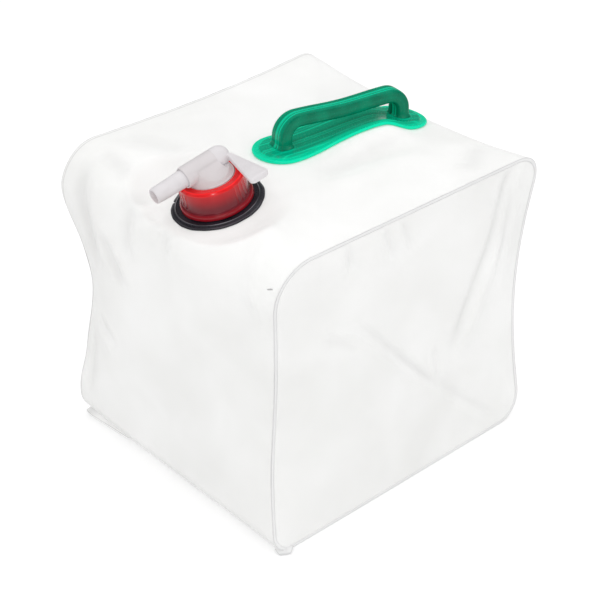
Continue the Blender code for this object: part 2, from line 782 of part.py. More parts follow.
def make_rotor(barrel_frame):
    """The turning part of the tap: tapered open spout, ported plug, domed hub and lever."""
    hub_base = BARREL_FRONT + BARREL_BACK + SPOUT_LENGTH + GAP
    hub_top = hub_base + HUB_LENGTH
    profile = [(0, hub_top)]
    for step in range(ARC_STEPS):
        angle = math.pi / 2 * step / ARC_STEPS
        profile.insert(1, (HUB_RADIUS * math.cos(angle), hub_top - HUB_DOME + HUB_DOME * math.sin(angle)))
    profile += [
        (HUB_RADIUS, hub_base),
        (ROTOR_RADIUS, hub_base),
        (ROTOR_RADIUS, SPOUT_LENGTH),
        (SPOUT_TIP_RADIUS, 0),
        (0, 0),
    ]
    rotor = turned("tap_rotor", profile, PARTS, tap_material, closed=False, steps=FINE_STEPS)
    reach = BARREL_FRONT + SPOUT_LENGTH
    along_barrel(rotor, barrel_frame, -reach)
    join(rotor, make_lever(barrel_frame))
    bore_length = reach + PORT_RADIUS + OVERRUN
    bore = cylinder("spout_bore", SPOUT_BORE_RADIUS, bore_length, CUTTERS, BORE_STEPS)
    cut(rotor, along_barrel(bore, barrel_frame, -reach - OVERRUN))
    port = cylinder("rotor_port", PORT_RADIUS, ROTOR_RADIUS + OVERRUN, CUTTERS, BORE_STEPS)
    cut(rotor, place(port, barrel_frame, (0, 0, 0), (0, -math.pi / 2, 0)))
    return rotor


def bore_top_sheet(top, frame):
    """The hole in the film that the neck goes through."""
    hole = cylinder("neck_hole", NECK_RADIUS + GAP, 2 * OVERRUN + NECK_TAIL, CUTTERS, ROUND_STEPS)
    cut(top, place(hole, frame, (0, 0, -OVERRUN - NECK_TAIL / 2)))


def make_spigot(top):
    """Everything on the spigot's tilted axis."""
    spot = (SPIGOT_SIDE, SPIGOT_Y, SPIGOT_Z)
    frame = empty("spigot_frame", spot, (SPIGOT_TILT, SPIGOT_LEAN, 0))
    barrel_frame = empty("barrel_frame", (0, 0, AXIS_RISE), (0, 0, BARREL_YAW), frame)
    bore_top_sheet(top, frame)
    make_neck(frame)
    make_gasket(frame)
    make_ring(frame)
    make_tap_body(frame, barrel_frame)
    make_rotor(barrel_frame)


# Handle
def half_width(along, length, end_width, waist_width):
    """Half the width of a round-ended plate with a slight waist, at one place along it."""
    end = end_width / 2
    past = abs(along) - (length / 2 - end)
    if past > 0:
        return math.sqrt(max(end * end - past * past, 0))
    waist = 1 + math.cos(math.pi * along / (length / 2 - end))
    return end - (end_width - waist_width) / 4 * waist


def plate_point(across, along, height):
    """World place of a point of the plate, at a height over the top sheet's crown."""
    spot = Matrix.Rotation(HANDLE_YAW, 2) @ Vector((across, along))
    x, y = spot.x + HANDLE_SIDE, spot.y + HANDLE_BACK
    return Vector((x, y, top_height(x, y) + height))


def oval_sheet(name, inset, base, thickness, collection, material=None):
    """A round-ended sheet that follows the top's crown."""
    length = PLATE_LENGTH - 2 * inset
    widths = (PLATE_END_WIDTH - 2 * inset, PLATE_WAIST_WIDTH - 2 * inset)
    bm = bmesh.new()
    bmesh.ops.create_grid(bm, x_segments=PLATE_COLUMNS, y_segments=PLATE_ROWS, size=0.5)
    for vert in bm.verts:
        along = length / 2 * math.sin(math.pi * vert.co.y)
        across = 2 * vert.co.x * half_width(along, length, *widths)
        vert.co = plate_point(across, along, base)
    bmesh.ops.remove_doubles(bm, verts=bm.verts, dist=MERGE_DISTANCE)
    bm.normal_update()
    sheet = add_object(name, mesh_from(bm, name), collection, material)
    wall = sheet.modifiers.new("sheet", "SOLIDIFY")
    wall.thickness = thickness
    wall.offset = 1
    return sheet


def grip_frame():
    """The frame of the grip: midway between its feet, level with the plate under them."""
    front = plate_point(0, -GRIP_SPAN / 2, PLATE_CLEARANCE)
    back = plate_point(0, GRIP_SPAN / 2, PLATE_CLEARANCE)
    middle = (front + back) / 2
    pitch = math.atan2(back.z - front.z, GRIP_SPAN)
    return empty("grip_frame", middle, (pitch, 0, HANDLE_YAW))


def make_boss(name, sign, frame):
    """The flat-topped oval seat under one foot."""
    height = GRIP_FOOT - GAP - PLATE_THICKNESS / 2
    radius = LEG_WIDTH / 2 + BOSS_MARGIN
    boss = cylinder(name, radius, height, CUTTERS)
    ovality_share = (LEG_THICKNESS / 2 + BOSS_MARGIN) / radius
    boss.data.transform(Matrix.Scale(ovality_share, 4, (0, 1, 0)))
    return place(boss, frame, (0, sign * GRIP_SPAN / 2, PLATE_THICKNESS / 2))


def make_plate(frame):
    """The green base plate: a thin border, a raised oval inside it and a seat for each foot."""
    base = PLATE_CLEARANCE
    plate = oval_sheet("handle_plate", 0, base, PLATE_THICKNESS, PARTS, handle_material)
    pad_base = base + PLATE_THICKNESS / 2
    pad = oval_sheet("pad", PAD_INSET, pad_base, PLATE_THICKNESS / 2 + PAD_HEIGHT, CUTTERS)
    join(plate, pad)
    for name, sign in (("front_boss", -1), ("back_boss", 1)):
        join(plate, make_boss(name, sign, frame))
    return shade(plate)


def grip_path():
    """Stations of the grip: (along, height, direction angle, share of the way from leg to bar)."""
    half = GRIP_SPAN / 2
    level = GRIP_HEIGHT - BAR_THICKNESS / 2
    turn = level - SHOULDER_RADIUS
    stations = [(-half, GRIP_FOOT, math.pi / 2, 0), (-half, turn, math.pi / 2, 0)]
    for step in range(1, ARC_STEPS + 1):
        angle = math.pi / 2 * step / ARC_STEPS
        along = -half + SHOULDER_RADIUS * (1 - math.cos(angle))
        height = turn + SHOULDER_RADIUS * math.sin(angle)
        stations.append((along, height, math.pi / 2 - angle, step / ARC_STEPS))
    bar = half - SHOULDER_RADIUS
    for step in range(1, BAR_STATIONS + 1):
        along = -bar + bar * step / (BAR_STATIONS + 1)
        stations.append((along, level - BAR_SAG * ramp(1 - abs(along) / bar), 0, 1))
    middle = [(0, level - BAR_SAG, 0, 1)]
    mirrored = [(-along, height, -angle, share) for along, height, angle, share in stations[::-1]]
    return stations + middle + mirrored


def grip_ring(bm, station):
    """One section of the grip, square to its path."""
    along, height, angle, share = station
    width = LEG_WIDTH + (BAR_WIDTH - LEG_WIDTH) * share
    depth = LEG_THICKNESS + (BAR_THICKNESS - LEG_THICKNESS) * share
    ring = []
    for width_share, depth_share in GRIP_SECTION_SHARES:
        out = depth * depth_share
        place_along = along - out * math.sin(angle)
        ring.append(bm.verts.new((width * width_share, place_along, height + out * math.cos(angle))))
    return ring


def make_grip(frame):
    """The arched grip, lofted from its wide flat legs to its deeper ridged bar."""
    bm = bmesh.new()
    rings = [grip_ring(bm, station) for station in grip_path()]
    for first, second in zip(rings, rings[1:]):
        for index, vert in enumerate(first):
            following = (index + 1) % len(first)
            bm.faces.new((vert, first[following], second[following], second[index]))
    bm.faces.new(rings[0])
    bm.faces.new(rings[-1])
    bmesh.ops.recalc_face_normals(bm, faces=bm.faces)
    grip = add_object("handle_grip", mesh_from(bm, "handle_grip"), PARTS, handle_material)
    return shade(place(grip, frame))


def make_handle():
    """Plate and grip."""
    frame = grip_frame()
    make_plate(frame)
    make_grip(frame)


def main():
    """Build the carrier."""
    top = make_wrap()
    for prefix, side in (("left", -1), ("right", 1)):
        make_panel(prefix + "_panel", side)
        make_seam(prefix + "_seam", side)
    make_spigot(top)
    make_handle()


main()
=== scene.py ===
"""Collapsible water carrier: its looks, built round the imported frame.

Metres, +Z up, the origin at the middle of the base, the spout towards -Y. The bag is frosted
film with welded fin seams. A black flange with a threaded neck, a red screw ring and a milky
turning tap stand on its top, with a green carrying handle behind them.
"""

import json
import logging
import math
from dataclasses import dataclass, field
from enum import Enum

import bmesh
import bpy
import numpy as np
from mathutils import Euler, Matrix, Vector

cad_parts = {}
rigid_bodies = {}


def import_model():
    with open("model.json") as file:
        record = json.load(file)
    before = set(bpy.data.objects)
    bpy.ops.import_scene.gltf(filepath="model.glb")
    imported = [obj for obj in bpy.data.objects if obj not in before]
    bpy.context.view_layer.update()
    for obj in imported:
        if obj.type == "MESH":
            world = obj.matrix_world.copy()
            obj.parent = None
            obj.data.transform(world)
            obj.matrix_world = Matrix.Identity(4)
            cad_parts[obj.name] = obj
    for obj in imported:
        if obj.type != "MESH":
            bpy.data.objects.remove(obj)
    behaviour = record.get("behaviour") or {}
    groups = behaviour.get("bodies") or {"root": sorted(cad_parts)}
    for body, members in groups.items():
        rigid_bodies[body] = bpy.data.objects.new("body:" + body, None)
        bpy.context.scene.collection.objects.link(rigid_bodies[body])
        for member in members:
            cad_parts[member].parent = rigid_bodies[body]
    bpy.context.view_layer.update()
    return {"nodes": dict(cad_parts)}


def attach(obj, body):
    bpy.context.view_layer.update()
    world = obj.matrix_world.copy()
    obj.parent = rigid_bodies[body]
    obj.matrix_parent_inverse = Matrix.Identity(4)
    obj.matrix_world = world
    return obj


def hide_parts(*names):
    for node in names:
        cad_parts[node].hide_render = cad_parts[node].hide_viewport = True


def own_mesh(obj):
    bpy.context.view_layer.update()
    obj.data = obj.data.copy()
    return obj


Array = np.ndarray
Triple = tuple[float, float, float]
Object = bpy.types.Object
Socket = bpy.types.NodeSocket
Tree = bpy.types.NodeTree
LOG = logging.getLogger("water_carrier")
TURN = 2 * math.pi
RIGHT_ANGLE = math.pi / 2
CUT_HEIGHT = 0.190
CUT_GAP = 0.00002
FLOOR_GAP = 0.0001
BAG_MIDDLE = 0.117
THREAD_PITCH = 0.004
WHITE = (1.0, 1.0, 1.0, 1.0)


class Body(str, Enum):
    """The frame's bodies that pieces ride on."""

    ROOT = "root"
    TOP = "top"
    TAP = "tap"
    RING = "ring"
    ROTOR = "rotor"


class Side(float, Enum):
    """The two sides of the bag, as signs of X."""

    LEFT = -1.0
    RIGHT = 1.0


# Shapes as arrays
def ease(value: Array) -> Array:
    """Rise from 0 to 1 as the value does: v * v * (3 - 2 v), held at both ends."""
    held = np.clip(value, 0.0, 1.0)
    return held * held * (3.0 - 2.0 * held)


def soft_min(first: Array, second: Array, blend: float) -> Array:
    """The lower of two heights, less near^2 / (4 blend), where near is blend less their difference."""
    near = np.maximum(blend - np.abs(first - second), 0.0)
    return np.minimum(first, second) - near * near / (4.0 * blend)


def soft_max(first: Array, second: Array, blend: float) -> Array:
    """The higher of two heights with the same rounding."""
    return -soft_min(-first, -second, blend)


def bell(distance: Array, width: float) -> Array:
    """exp(-(distance / width)^2)."""
    return np.exp(-((distance / width) ** 2))


def circle(steps: int) -> Array:
    """Even angles once round, without the last."""
    return np.linspace(0, TURN, steps, endpoint=False)


def squared(value: Array, power: float) -> Array:
    """sign(v) |v|^power, which squares up a sine or a cosine."""
    return np.sign(value) * np.abs(value) ** power


def past(angle: Array, place: float) -> Array:
    """How far an angle is past a place, from -pi to pi."""
    return np.arctan2(np.sin(angle - place), np.cos(angle - place))


def unit(vectors: Array) -> Array:
    """The vectors at length one."""
    return vectors / np.linalg.norm(vectors, axis=-1, keepdims=True)


def away_from_middle(directions: Array, places: Array, height: float) -> Array:
    """Directions turned to point away from the bag's middle: sign(direction * (place - middle))."""
    return directions * np.sign(np.sum(directions * (places - [0.0, 0.0, height / 2]), axis=-1, keepdims=True))


@dataclass
class Patch:
    """A grid of points, rows by columns by three.

    Attributes:
        points: The grid.
        loop_rows: Whether the last row joins the first.
        loop_columns: Whether the last column joins the first.
        keep: Which quads to keep, or None for all.
        masks: Named values per point, kept as attributes.
    """

    points: Array
    loop_rows: bool = False
    loop_columns: bool = False
    keep: Array | None = None
    masks: dict[str, Array] = field(default_factory=dict)

    def quads(self) -> Array:
        """The four corner indices of each quad of the grid."""
        rows, columns = self.points.shape[:2]
        index = np.arange(rows * columns).reshape(rows, columns)
        if self.loop_rows:
            index = np.concatenate([index, index[:1]], axis=0)
        if self.loop_columns:
            index = np.concatenate([index, index[:, :1]], axis=1)
        corners = np.stack([index[:-1, :-1], index[:-1, 1:], index[1:, 1:], index[1:, :-1]], axis=-1)
        quads = corners.reshape(-1, 4)
        return quads if self.keep is None else quads[self.keep.reshape(-1)]


def add_object(name: str, data: bpy.types.ID) -> Object:
    """A new object in the scene."""
    obj = bpy.data.objects.new(name, data)
    bpy.context.scene.collection.objects.link(obj)
    return obj


class Piece:
    """A mesh object made of patches, at the origin, with its place in its mesh."""

    MERGE = 4e-6
    SHARP = math.radians(38)

    @classmethod
    def build(cls, name: str, patches: list[Patch], closed: bool = True) -> Object:
        """Join patches into one mesh with closed seams and poles, shaded smooth.

        Args:
            name: The object's name.
            patches: The grids to join.
            closed: Whether the mesh is a closed shell whose faces are turned outwards.

        Returns:
            The new object.
        """
        points = np.concatenate([patch.points.reshape(-1, 3) for patch in patches])
        starts = np.cumsum([0] + [patch.points[..., 0].size for patch in patches])
        quads = np.concatenate([patch.quads() + start for patch, start in zip(patches, starts)])
        mesh = bpy.data.meshes.new(name)
        mesh.vertices.add(len(points))
        mesh.vertices.foreach_set("co", points.astype(np.float32).ravel())
        mesh.loops.add(quads.size)
        mesh.loops.foreach_set("vertex_index", quads.astype(np.int32).ravel())
        mesh.polygons.add(len(quads))
        mesh.polygons.foreach_set("loop_start", np.arange(0, quads.size, 4, dtype=np.int32))
        mesh.update(calc_edges=True)
        for key in sorted({key for patch in patches for key in patch.masks}):
            values = [patch.masks.get(key, np.zeros(patch.points.shape[:2])).reshape(-1) for patch in patches]
            attribute = mesh.attributes.new(key, "FLOAT", "POINT")
            attribute.data.foreach_set("value", np.concatenate(values).astype(np.float32))
        bm = bmesh.new()
        bm.from_mesh(mesh)
        bmesh.ops.remove_doubles(bm, verts=bm.verts, dist=cls.MERGE)
        bmesh.ops.delete(bm, geom=[vert for vert in bm.verts if not vert.link_faces], context="VERTS")
        if closed:
            bmesh.ops.recalc_face_normals(bm, faces=bm.faces)
        bm.to_mesh(mesh)
        bm.free()
        return cls.shade(add_object(name, mesh))

    @classmethod
    def face_outwards(cls, obj: Object) -> None:
        """Turn an open sheet's faces away from the middle of the bag: the sum of normal * place is positive."""
        values = {key: np.empty(len(obj.data.polygons) * 3) for key in ("normal", "center")}
        for key, value in values.items():
            obj.data.polygons.foreach_get(key, value)
        places = values["center"].reshape(-1, 3) - [0.0, 0.0, BAG_MIDDLE]
        if np.sum(values["normal"].reshape(-1, 3) * places) < 0:
            obj.data.flip_normals()

    @classmethod
    def shade(cls, obj: Object) -> Object:
        """Shade smooth except across real corners."""
        obj.data.shade_smooth()
        obj.data.set_sharp_from_angle(angle=cls.SHARP)
        return obj

    @classmethod
    def part(cls, source: Object, name: str, above: bool, fill: bool) -> Object:
        """The part of a mesh above or below the level where the folding bag parts.

        Args:
            source: The whole mesh.
            name: The new object's name.
            above: Whether the upper part is wanted.
            fill: Whether the cut ends are closed.

        Returns:
            The new object.
        """
        bm = bmesh.new()
        bm.from_mesh(source.data)
        bmesh.ops.bisect_plane(
            bm,
            geom=bm.verts[:] + bm.edges[:] + bm.faces[:],
            plane_co=(0, 0, CUT_HEIGHT + (CUT_GAP if above else 0.0)),
            plane_no=(0, 0, 1),
            clear_inner=above,
            clear_outer=not above,
        )
        if fill:
            bmesh.ops.holes_fill(bm, edges=[edge for edge in bm.edges if edge.is_boundary], sides=0)
        mesh = bpy.data.meshes.new(name)
        bm.to_mesh(mesh)
        bm.free()
        return cls.shade(add_object(name, mesh))

    @classmethod
    def thicken(cls, obj: Object, thickness: float) -> None:
        """Give a sheet its wall, inwards, and make it final."""
        wall = obj.modifiers.new("wall", "SOLIDIFY")
        wall.thickness = thickness
        wall.offset = -1
        wall.use_rim = False
        graph = bpy.context.evaluated_depsgraph_get()
        mesh = bpy.data.meshes.new_from_object(obj.evaluated_get(graph))
        obj.modifiers.clear()
        obj.data = mesh
        mesh.name = obj.name


# Finishes
def wire(tree: Tree, node: bpy.types.Node, inputs: dict) -> None:
    """Link a node's inputs to sockets, or set them to values."""
    for key, value in inputs.items():
        if isinstance(value, Socket):
            tree.links.new(value, node.inputs[key])
        else:
            node.inputs[key].default_value = value


def add_node(tree: Tree, kind: str, inputs: dict, **settings: object) -> bpy.types.NodeOutputs:
    """Add a node.

    Args:
        tree: The tree it goes in.
        kind: The node's type, without its first word.
        inputs: Input names with values, or sockets to link from.
        settings: Properties to set first.

    Returns:
        The node's outputs.
    """
    node = tree.nodes.new("ShaderNode" + kind)
    for key, value in settings.items():
        setattr(node, key, value)
    wire(tree, node, inputs)
    return node.outputs


def place_of(tree: Tree) -> Socket:
    """The object's own coordinates."""
    return add_node(tree, "TexCoord", {})["Object"]


def mask_of(tree: Tree, name: str) -> Socket:
    """A value that the mesh carries."""
    return add_node(tree, "Attribute", {}, attribute_name=name)["Fac"]


def multiply_add(tree: Tree, value: Socket, factor: float, added: Socket) -> Socket:
    """value * factor + added."""
    return add_node(tree, "Math", {0: value, 1: factor, 2: added}, operation="MULTIPLY_ADD")[0]


def scaled(tree: Tree, value: Socket, source: tuple, target: tuple) -> Socket:
    """A value mapped from one range to another and held at its ends."""
    limits = {"From Min": source[0], "From Max": source[1], "To Min": target[0], "To Max": target[1]}
    return add_node(tree, "MapRange", {"Value": value, **limits})["Result"]


def blended(tree: Tree, factor: Socket, first: object, second: object) -> Socket:
    """Two colours mixed by a factor; each is a colour socket or three numbers."""
    ends = [end if isinstance(end, Socket) else (*end, 1.0) for end in (first, second)]
    return add_node(tree, "Mix", {"Factor": factor, "A": ends[0], "B": ends[1]}, data_type="RGBA")["Result"]


@dataclass(frozen=True)
class Effect:
    """A node group that finishes share: a clouding, a fine noise, and a height mixed from both.

    Attributes:
        name: The group's name.
        scale: Scale of the clouding, where the finish gives none.
        fine: Name of the fine noise.
        fine_scale: Its scale, where the finish gives none.
        cloud_noise: Further inputs of the clouding.
        fine_noise: Further inputs of the fine noise.
        share: Share of the fine noise in the height.
        kind: Kind of the fine noise.
    """

    name: str
    scale: float
    fine: str
    fine_scale: float
    cloud_noise: dict[str, float]
    fine_noise: dict[str, float]
    share: float
    kind: str = "FBM"

    def group(self) -> Tree:
        """The group, made once: height = fine noise * share + clouding."""
        known = bpy.data.node_groups.get(self.name)
        if known:
            return known
        tree = bpy.data.node_groups.new(self.name, "ShaderNodeTree")
        tree.interface.new_socket("Vector", in_out="INPUT", socket_type="NodeSocketVector")
        for key, value in (("Scale", self.scale), (self.fine, self.fine_scale)):
            tree.interface.new_socket(key, in_out="INPUT", socket_type="NodeSocketFloat").default_value = value
        for key in ("Cloud", self.fine, "Height"):
            tree.interface.new_socket(key, in_out="OUTPUT", socket_type="NodeSocketFloat")
        start = tree.nodes.new("NodeGroupInput").outputs
        cloud = {"Vector": start["Vector"], "Scale": start["Scale"], **self.cloud_noise}
        fine = {"Vector": start["Vector"], "Scale": start[self.fine], **self.fine_noise}
        cloud = add_node(tree, "TexNoise", cloud)["Fac"]
        fine = add_node(tree, "TexNoise", fine, noise_type=self.kind)["Fac"]
        height = multiply_add(tree, fine, self.share, cloud)
        wire(tree, tree.nodes.new("NodeGroupOutput"), {"Cloud": cloud, self.fine: fine, "Height": height})
        return tree


MOTTLE = Effect(
    "moulded_mottle",
    60.0,
    "Grain",
    900.0,
    {"Detail": 3.0, "Roughness": 0.55},
    {"Detail": 2.0, "Roughness": 0.6},
    0.35,
)
CRINKLE = Effect(
    "film_crinkle",
    16.0,
    "Crease",
    34.0,
    {"Detail": 2.5, "Distortion": 0.4},
    {"Detail": 1.0, "Distortion": 0.9},
    0.12,
    "RIDGED_MULTIFRACTAL",
)


@dataclass(frozen=True)
class Finish:
    """A finish of the object.

    Attributes:
        name: The material's name.
        slot: The record's material slot; not used.
        colour: Its main colour.
        second: The colour that its clouds and streaks lean to.
    """

    name: str
    slot: str
    colour: Triple
    second: Triple

    def inputs(self, tree: Tree) -> dict:
        """The shader's inputs, as sockets and values."""
        raise NotImplementedError

    def material(self) -> bpy.types.Material:
        """The finish as a material, made once."""
        known = bpy.data.materials.get(self.name)
        if known:
            return known
        material = bpy.data.materials.new(self.name)
        material.use_nodes = True
        tree = material.node_tree
        wire(tree, tree.nodes["Principled BSDF"], self.inputs(tree))
        return material


@dataclass(frozen=True)
class Moulding(Finish):
    """A moulded plastic, with clouded colour, grained roughness and a fine bump.

    Attributes:
        roughness: Its plain roughness.
        spread: How far the grain moves the roughness.
        mirror: Strength of its plain reflections.
        coat: Weight of a clear gloss over it.
        cloud: Scale of the clouding.
        grain: Scale of the grain.
        bump: Height of its unevenness, in metres.
        depth: Weight of light scattered inside it.
        mark: The mesh value that brings in the marked colour, or nothing.
        marked: The marked colour.
        lift: Painted glow everywhere: emission as if light came through the wall.
        glow: Painted glow where the mesh's thin value is high: emission that paints highlights on edges and light
            into hollows.
    """

    roughness: float
    spread: float = 0.06
    mirror: float = 0.3
    coat: float = 0.0
    cloud: float = 70.0
    grain: float = 900.0
    bump: float = 0.00005
    depth: float = 0.0
    mark: str = ""
    marked: Triple = (0.5, 0.5, 0.5)
    lift: float = 0.0
    glow: float = 0.0

    def tint(self, tree: Tree, cloud: Socket) -> Socket:
        """The colour over the surface, mixed by the clouding and then by the mark."""
        base = blended(tree, scaled(tree, cloud, (0.35, 0.65), (0.0, 1.0)), self.colour, self.second)
        return blended(tree, mask_of(tree, self.mark), base, self.marked) if self.mark else base

    def relief(self, tree: Tree, height: Socket) -> Socket:
        """The height that the bump follows."""
        return height

    def inputs(self, tree: Tree) -> dict:
        """The shader's inputs, as sockets and values."""
        scales = {"Vector": place_of(tree), "Scale": self.cloud, "Grain": self.grain}
        mottle = add_node(tree, "Group", scales, node_tree=MOTTLE.group())
        limits = (self.roughness - self.spread, self.roughness + self.spread)
        height = self.relief(tree, mottle["Height"])
        colour = self.tint(tree, mottle["Cloud"])
        lit = {}
        # painted glow: emission from lift to glow by the thin mask
        if self.glow:
            strength = scaled(tree, mask_of(tree, "thin"), (0.0, 1.0), (self.lift, self.glow))
            lit = {"Emission Color": colour, "Emission Strength": strength}
        return lit | {
            "Base Color": colour,
            "Roughness": scaled(tree, mottle["Grain"], (0.3, 0.7), limits),
            "Normal": add_node(tree, "Bump", {"Height": height, "Distance": self.bump, "Strength": 1.0})["Normal"],
            "Metallic": 0.0,
            "Specular IOR Level": self.mirror,
            "Coat Weight": self.coat,
            "Coat Roughness": 0.06,
            "Subsurface Weight": self.depth,
            "Subsurface Radius": (0.002, 0.002, 0.002),
            "Subsurface Scale": 1.0,
        }


@dataclass(frozen=True)
class StreakedMoulding(Moulding):
    """A moulding drawn with fine dark lines along its length, pale lines of painted highlight, and painted light by
    its rim value.

    The mesh carries "lane", the distance across in metres, and "rim", the painted light: paler over the plate's thin
    border and along the grip's top.

    Attributes:
        pale: The colour of the painted light, as if through the plate's thin border, of the grip's painted sheen and
            of the painted highlight lines.
        deep: The colour of the darker lines.
        lines: Lines per metre.
    """

    pale: Triple = (0.0, 0.780, 0.445)
    deep: Triple = (0.0, 0.080, 0.042)
    lines: float = 430.0

    def streak(self, tree: Tree) -> Socket:
        """Noise over the lane: long lines that waver a little with the place."""
        waver = add_node(tree, "TexNoise", {"Vector": place_of(tree), "Scale": 22.0, "Detail": 1.0})["Fac"]
        lane = multiply_add(tree, waver, 0.0012, mask_of(tree, "lane"))
        inputs = {"W": lane, "Scale": self.lines, "Detail": 1.0, "Roughness": 0.6}
        return add_node(tree, "TexNoise", inputs, noise_dimensions="1D")["Fac"]

    def relief(self, tree: Tree, height: Socket) -> Socket:
        """The drawn lines, with a little of the mottle."""
        return multiply_add(tree, self.streak(tree), 2.2, height)

    def tint(self, tree: Tree, cloud: Socket) -> Socket:
        """Cloud colour, darker along some lines and paler along others as painted highlights, then mixed to the pale
        colour by the rim's painted light.
        """
        colour = Moulding.tint(self, tree, cloud)
        line = self.streak(tree)
        # the pale lines are painted highlight streaks
        for source, lined in (((0.50, 0.36), self.deep), ((0.54, 0.67), self.pale)):
            colour = blended(tree, scaled(tree, line, source, (0.0, 0.7)), colour, lined)
        return blended(tree, mask_of(tree, "rim"), colour, self.pale)


@dataclass(frozen=True)
class Film(Finish):
    """Frosted polyethylene film, see-through, and more solid where it turns away from the eye.

    Attributes:
        facing: How solid it is seen square on.
        edge: How solid it is seen at a glance.
        lined: The colour of pressed weld lines.
        glow: Painted glow: an even emission in the film's own colour that lifts it, as if light came through from
            behind.
        roughness: Its roughness.
        spread: How far the clouds move the roughness.
        bump: Height of its fine creases, in metres.
    """

    facing: float
    edge: float
    # lined: The colour of pressed weld lines, and of the painted shade along the creases.
    lined: Triple = (0.46, 0.46, 0.46)
    glow: float = 0.120
    roughness: float = 0.42
    spread: float = 0.07
    bump: float = 0.0006

    def inputs(self, tree: Tree) -> dict:
        """The shader's inputs, as sockets and values."""
        crinkle = add_node(tree, "Group", {"Vector": place_of(tree)}, node_tree=CRINKLE.group())
        cloud = scaled(tree, crinkle["Cloud"], (0.3, 0.7), (0.0, 1.0))
        tint = blended(tree, cloud, self.colour, self.second)
        # the line mask brings in the pressed weld lines and the painted shade of the creases
        tint = blended(tree, mask_of(tree, "line"), tint, self.lined)
        limits = (self.roughness - self.spread, self.roughness + self.spread)
        bump = {"Height": crinkle["Height"], "Distance": self.bump, "Strength": 1.0}
        view = add_node(tree, "LayerWeight", {"Blend": 0.35})["Facing"]
        return {
            "Base Color": tint,
            "Roughness": scaled(tree, cloud, (0.0, 1.0), limits),
            "Normal": add_node(tree, "Bump", bump)["Normal"],
            "Alpha": scaled(tree, view, (0.0, 1.0), (self.facing, self.edge)),
            # painted glow: the film emits its own tint at an even strength
            "Emission Color": tint,
            "Emission Strength": self.glow,
            "Specular IOR Level": 0.25,
        }


FILM = Film("frosted_film", "film", (0.95, 0.95, 0.945), (0.89, 0.89, 0.88), 0.55, 0.88)
SEAM = Film("welded_film", "seam", (0.93, 0.93, 0.93), (0.88, 0.88, 0.88), 0.75, 0.95, glow=0.06, bump=0.0002)
BLACK = Moulding(
    "black_polyethylene",
    "black_plastic",
    (0.010, 0.010, 0.015),
    (0.022, 0.021, 0.030),
    0.34,
    0.10,
    mirror=0.45,
    bump=0.00008,
    # the marked colour is a painted highlight along the flange's ridges
    mark="line",
    marked=(0.34, 0.34, 0.37),
)
RED = Moulding(
    "red_gloss",
    "red_plastic",
    (0.700, 0.006, 0.010),
    (0.760, 0.012, 0.014),
    0.22,
    0.05,
    mirror=0.3,
    coat=0.32,
    depth=0.04,
    # the marked colour is painted shade on the ring's wall and inside it
    mark="deep",
    marked=(0.155, 0.004, 0.012),
    # the glow paints a highlight along the rolled edge and the lip
    glow=0.55,
)
MILKY = Moulding(
    "milky_polyethylene",
    "milky_plastic",
    (0.655, 0.630, 0.645),
    (0.705, 0.680, 0.695),
    0.34,
    0.06,
    mirror=0.35,
    depth=0.12,
    # the marked colour is its own greyer pink tone, deepened as painted shade with painted red bounce light towards
    # the ring and under the spout's tip
    mark="warm",
    marked=(0.565, 0.510, 0.510),
    # lift and glow are painted light: an even glow over the tap and more in the spout's bore
    lift=0.075,
    glow=0.16,
)
FOAM = Moulding("washer_foam", "foam", (0.42, 0.42, 0.43), (0.52, 0.52, 0.52), 0.85, 0.05, grain=2400.0)
GREEN = StreakedMoulding(
    "green_gloss",
    "green_plastic",
    (0.0, 0.168, 0.090),
    (0.0, 0.235, 0.125),
    0.24,
    0.06,
    mirror=0.11,
    coat=0.10,
    bump=0.00007,
)


# The bag
@dataclass(frozen=True)
class Crease:
    """A soft fold in a face: a furrow with a ridge beside it.

    Attributes:
        start: Where it begins, in the face's own two coordinates.
        end: Where it ends.
        width: Half width of the furrow.
        depth: How deep it goes.
        ridge: Share of the depth that stands up beside it.
    """

    start: tuple[float, float]
    end: tuple[float, float]
    width: float
    depth: float
    ridge: float = 0.6

    def local(self, first: Array, second: Array) -> tuple[Array, Array]:
        """The taper towards both ends, and the distance beside the line."""
        run = np.array(self.end) - np.array(self.start)
        length = float(np.hypot(*run))
        along = ((first - self.start[0]) * run[0] + (second - self.start[1]) * run[1]) / length**2
        beside = ((first - self.start[0]) * run[1] - (second - self.start[1]) * run[0]) / length
        return ease(along / 0.3) * ease((1.0 - along) / 0.3), beside

    def height(self, first: Array, second: Array) -> Array:
        """Height outwards: taper * depth * (ridge * bell beside the line - bell on the line)."""
        taper, beside = self.local(first, second)
        furrow = bell(beside, self.width)
        bank = bell(beside - 1.9 * self.width, 1.3 * self.width)
        return self.depth * taper * (self.ridge * bank - furrow)

    def shade(self, first: Array, second: Array) -> Array:
        """Painted shade along the crease: taper * (depth over 3 mm) * bell by the furrow's outer side."""
        taper, beside = self.local(first, second)
        return taper * max(self.depth / 0.003, 0.0) * bell(beside + 0.35 * self.width, 0.8 * self.width)


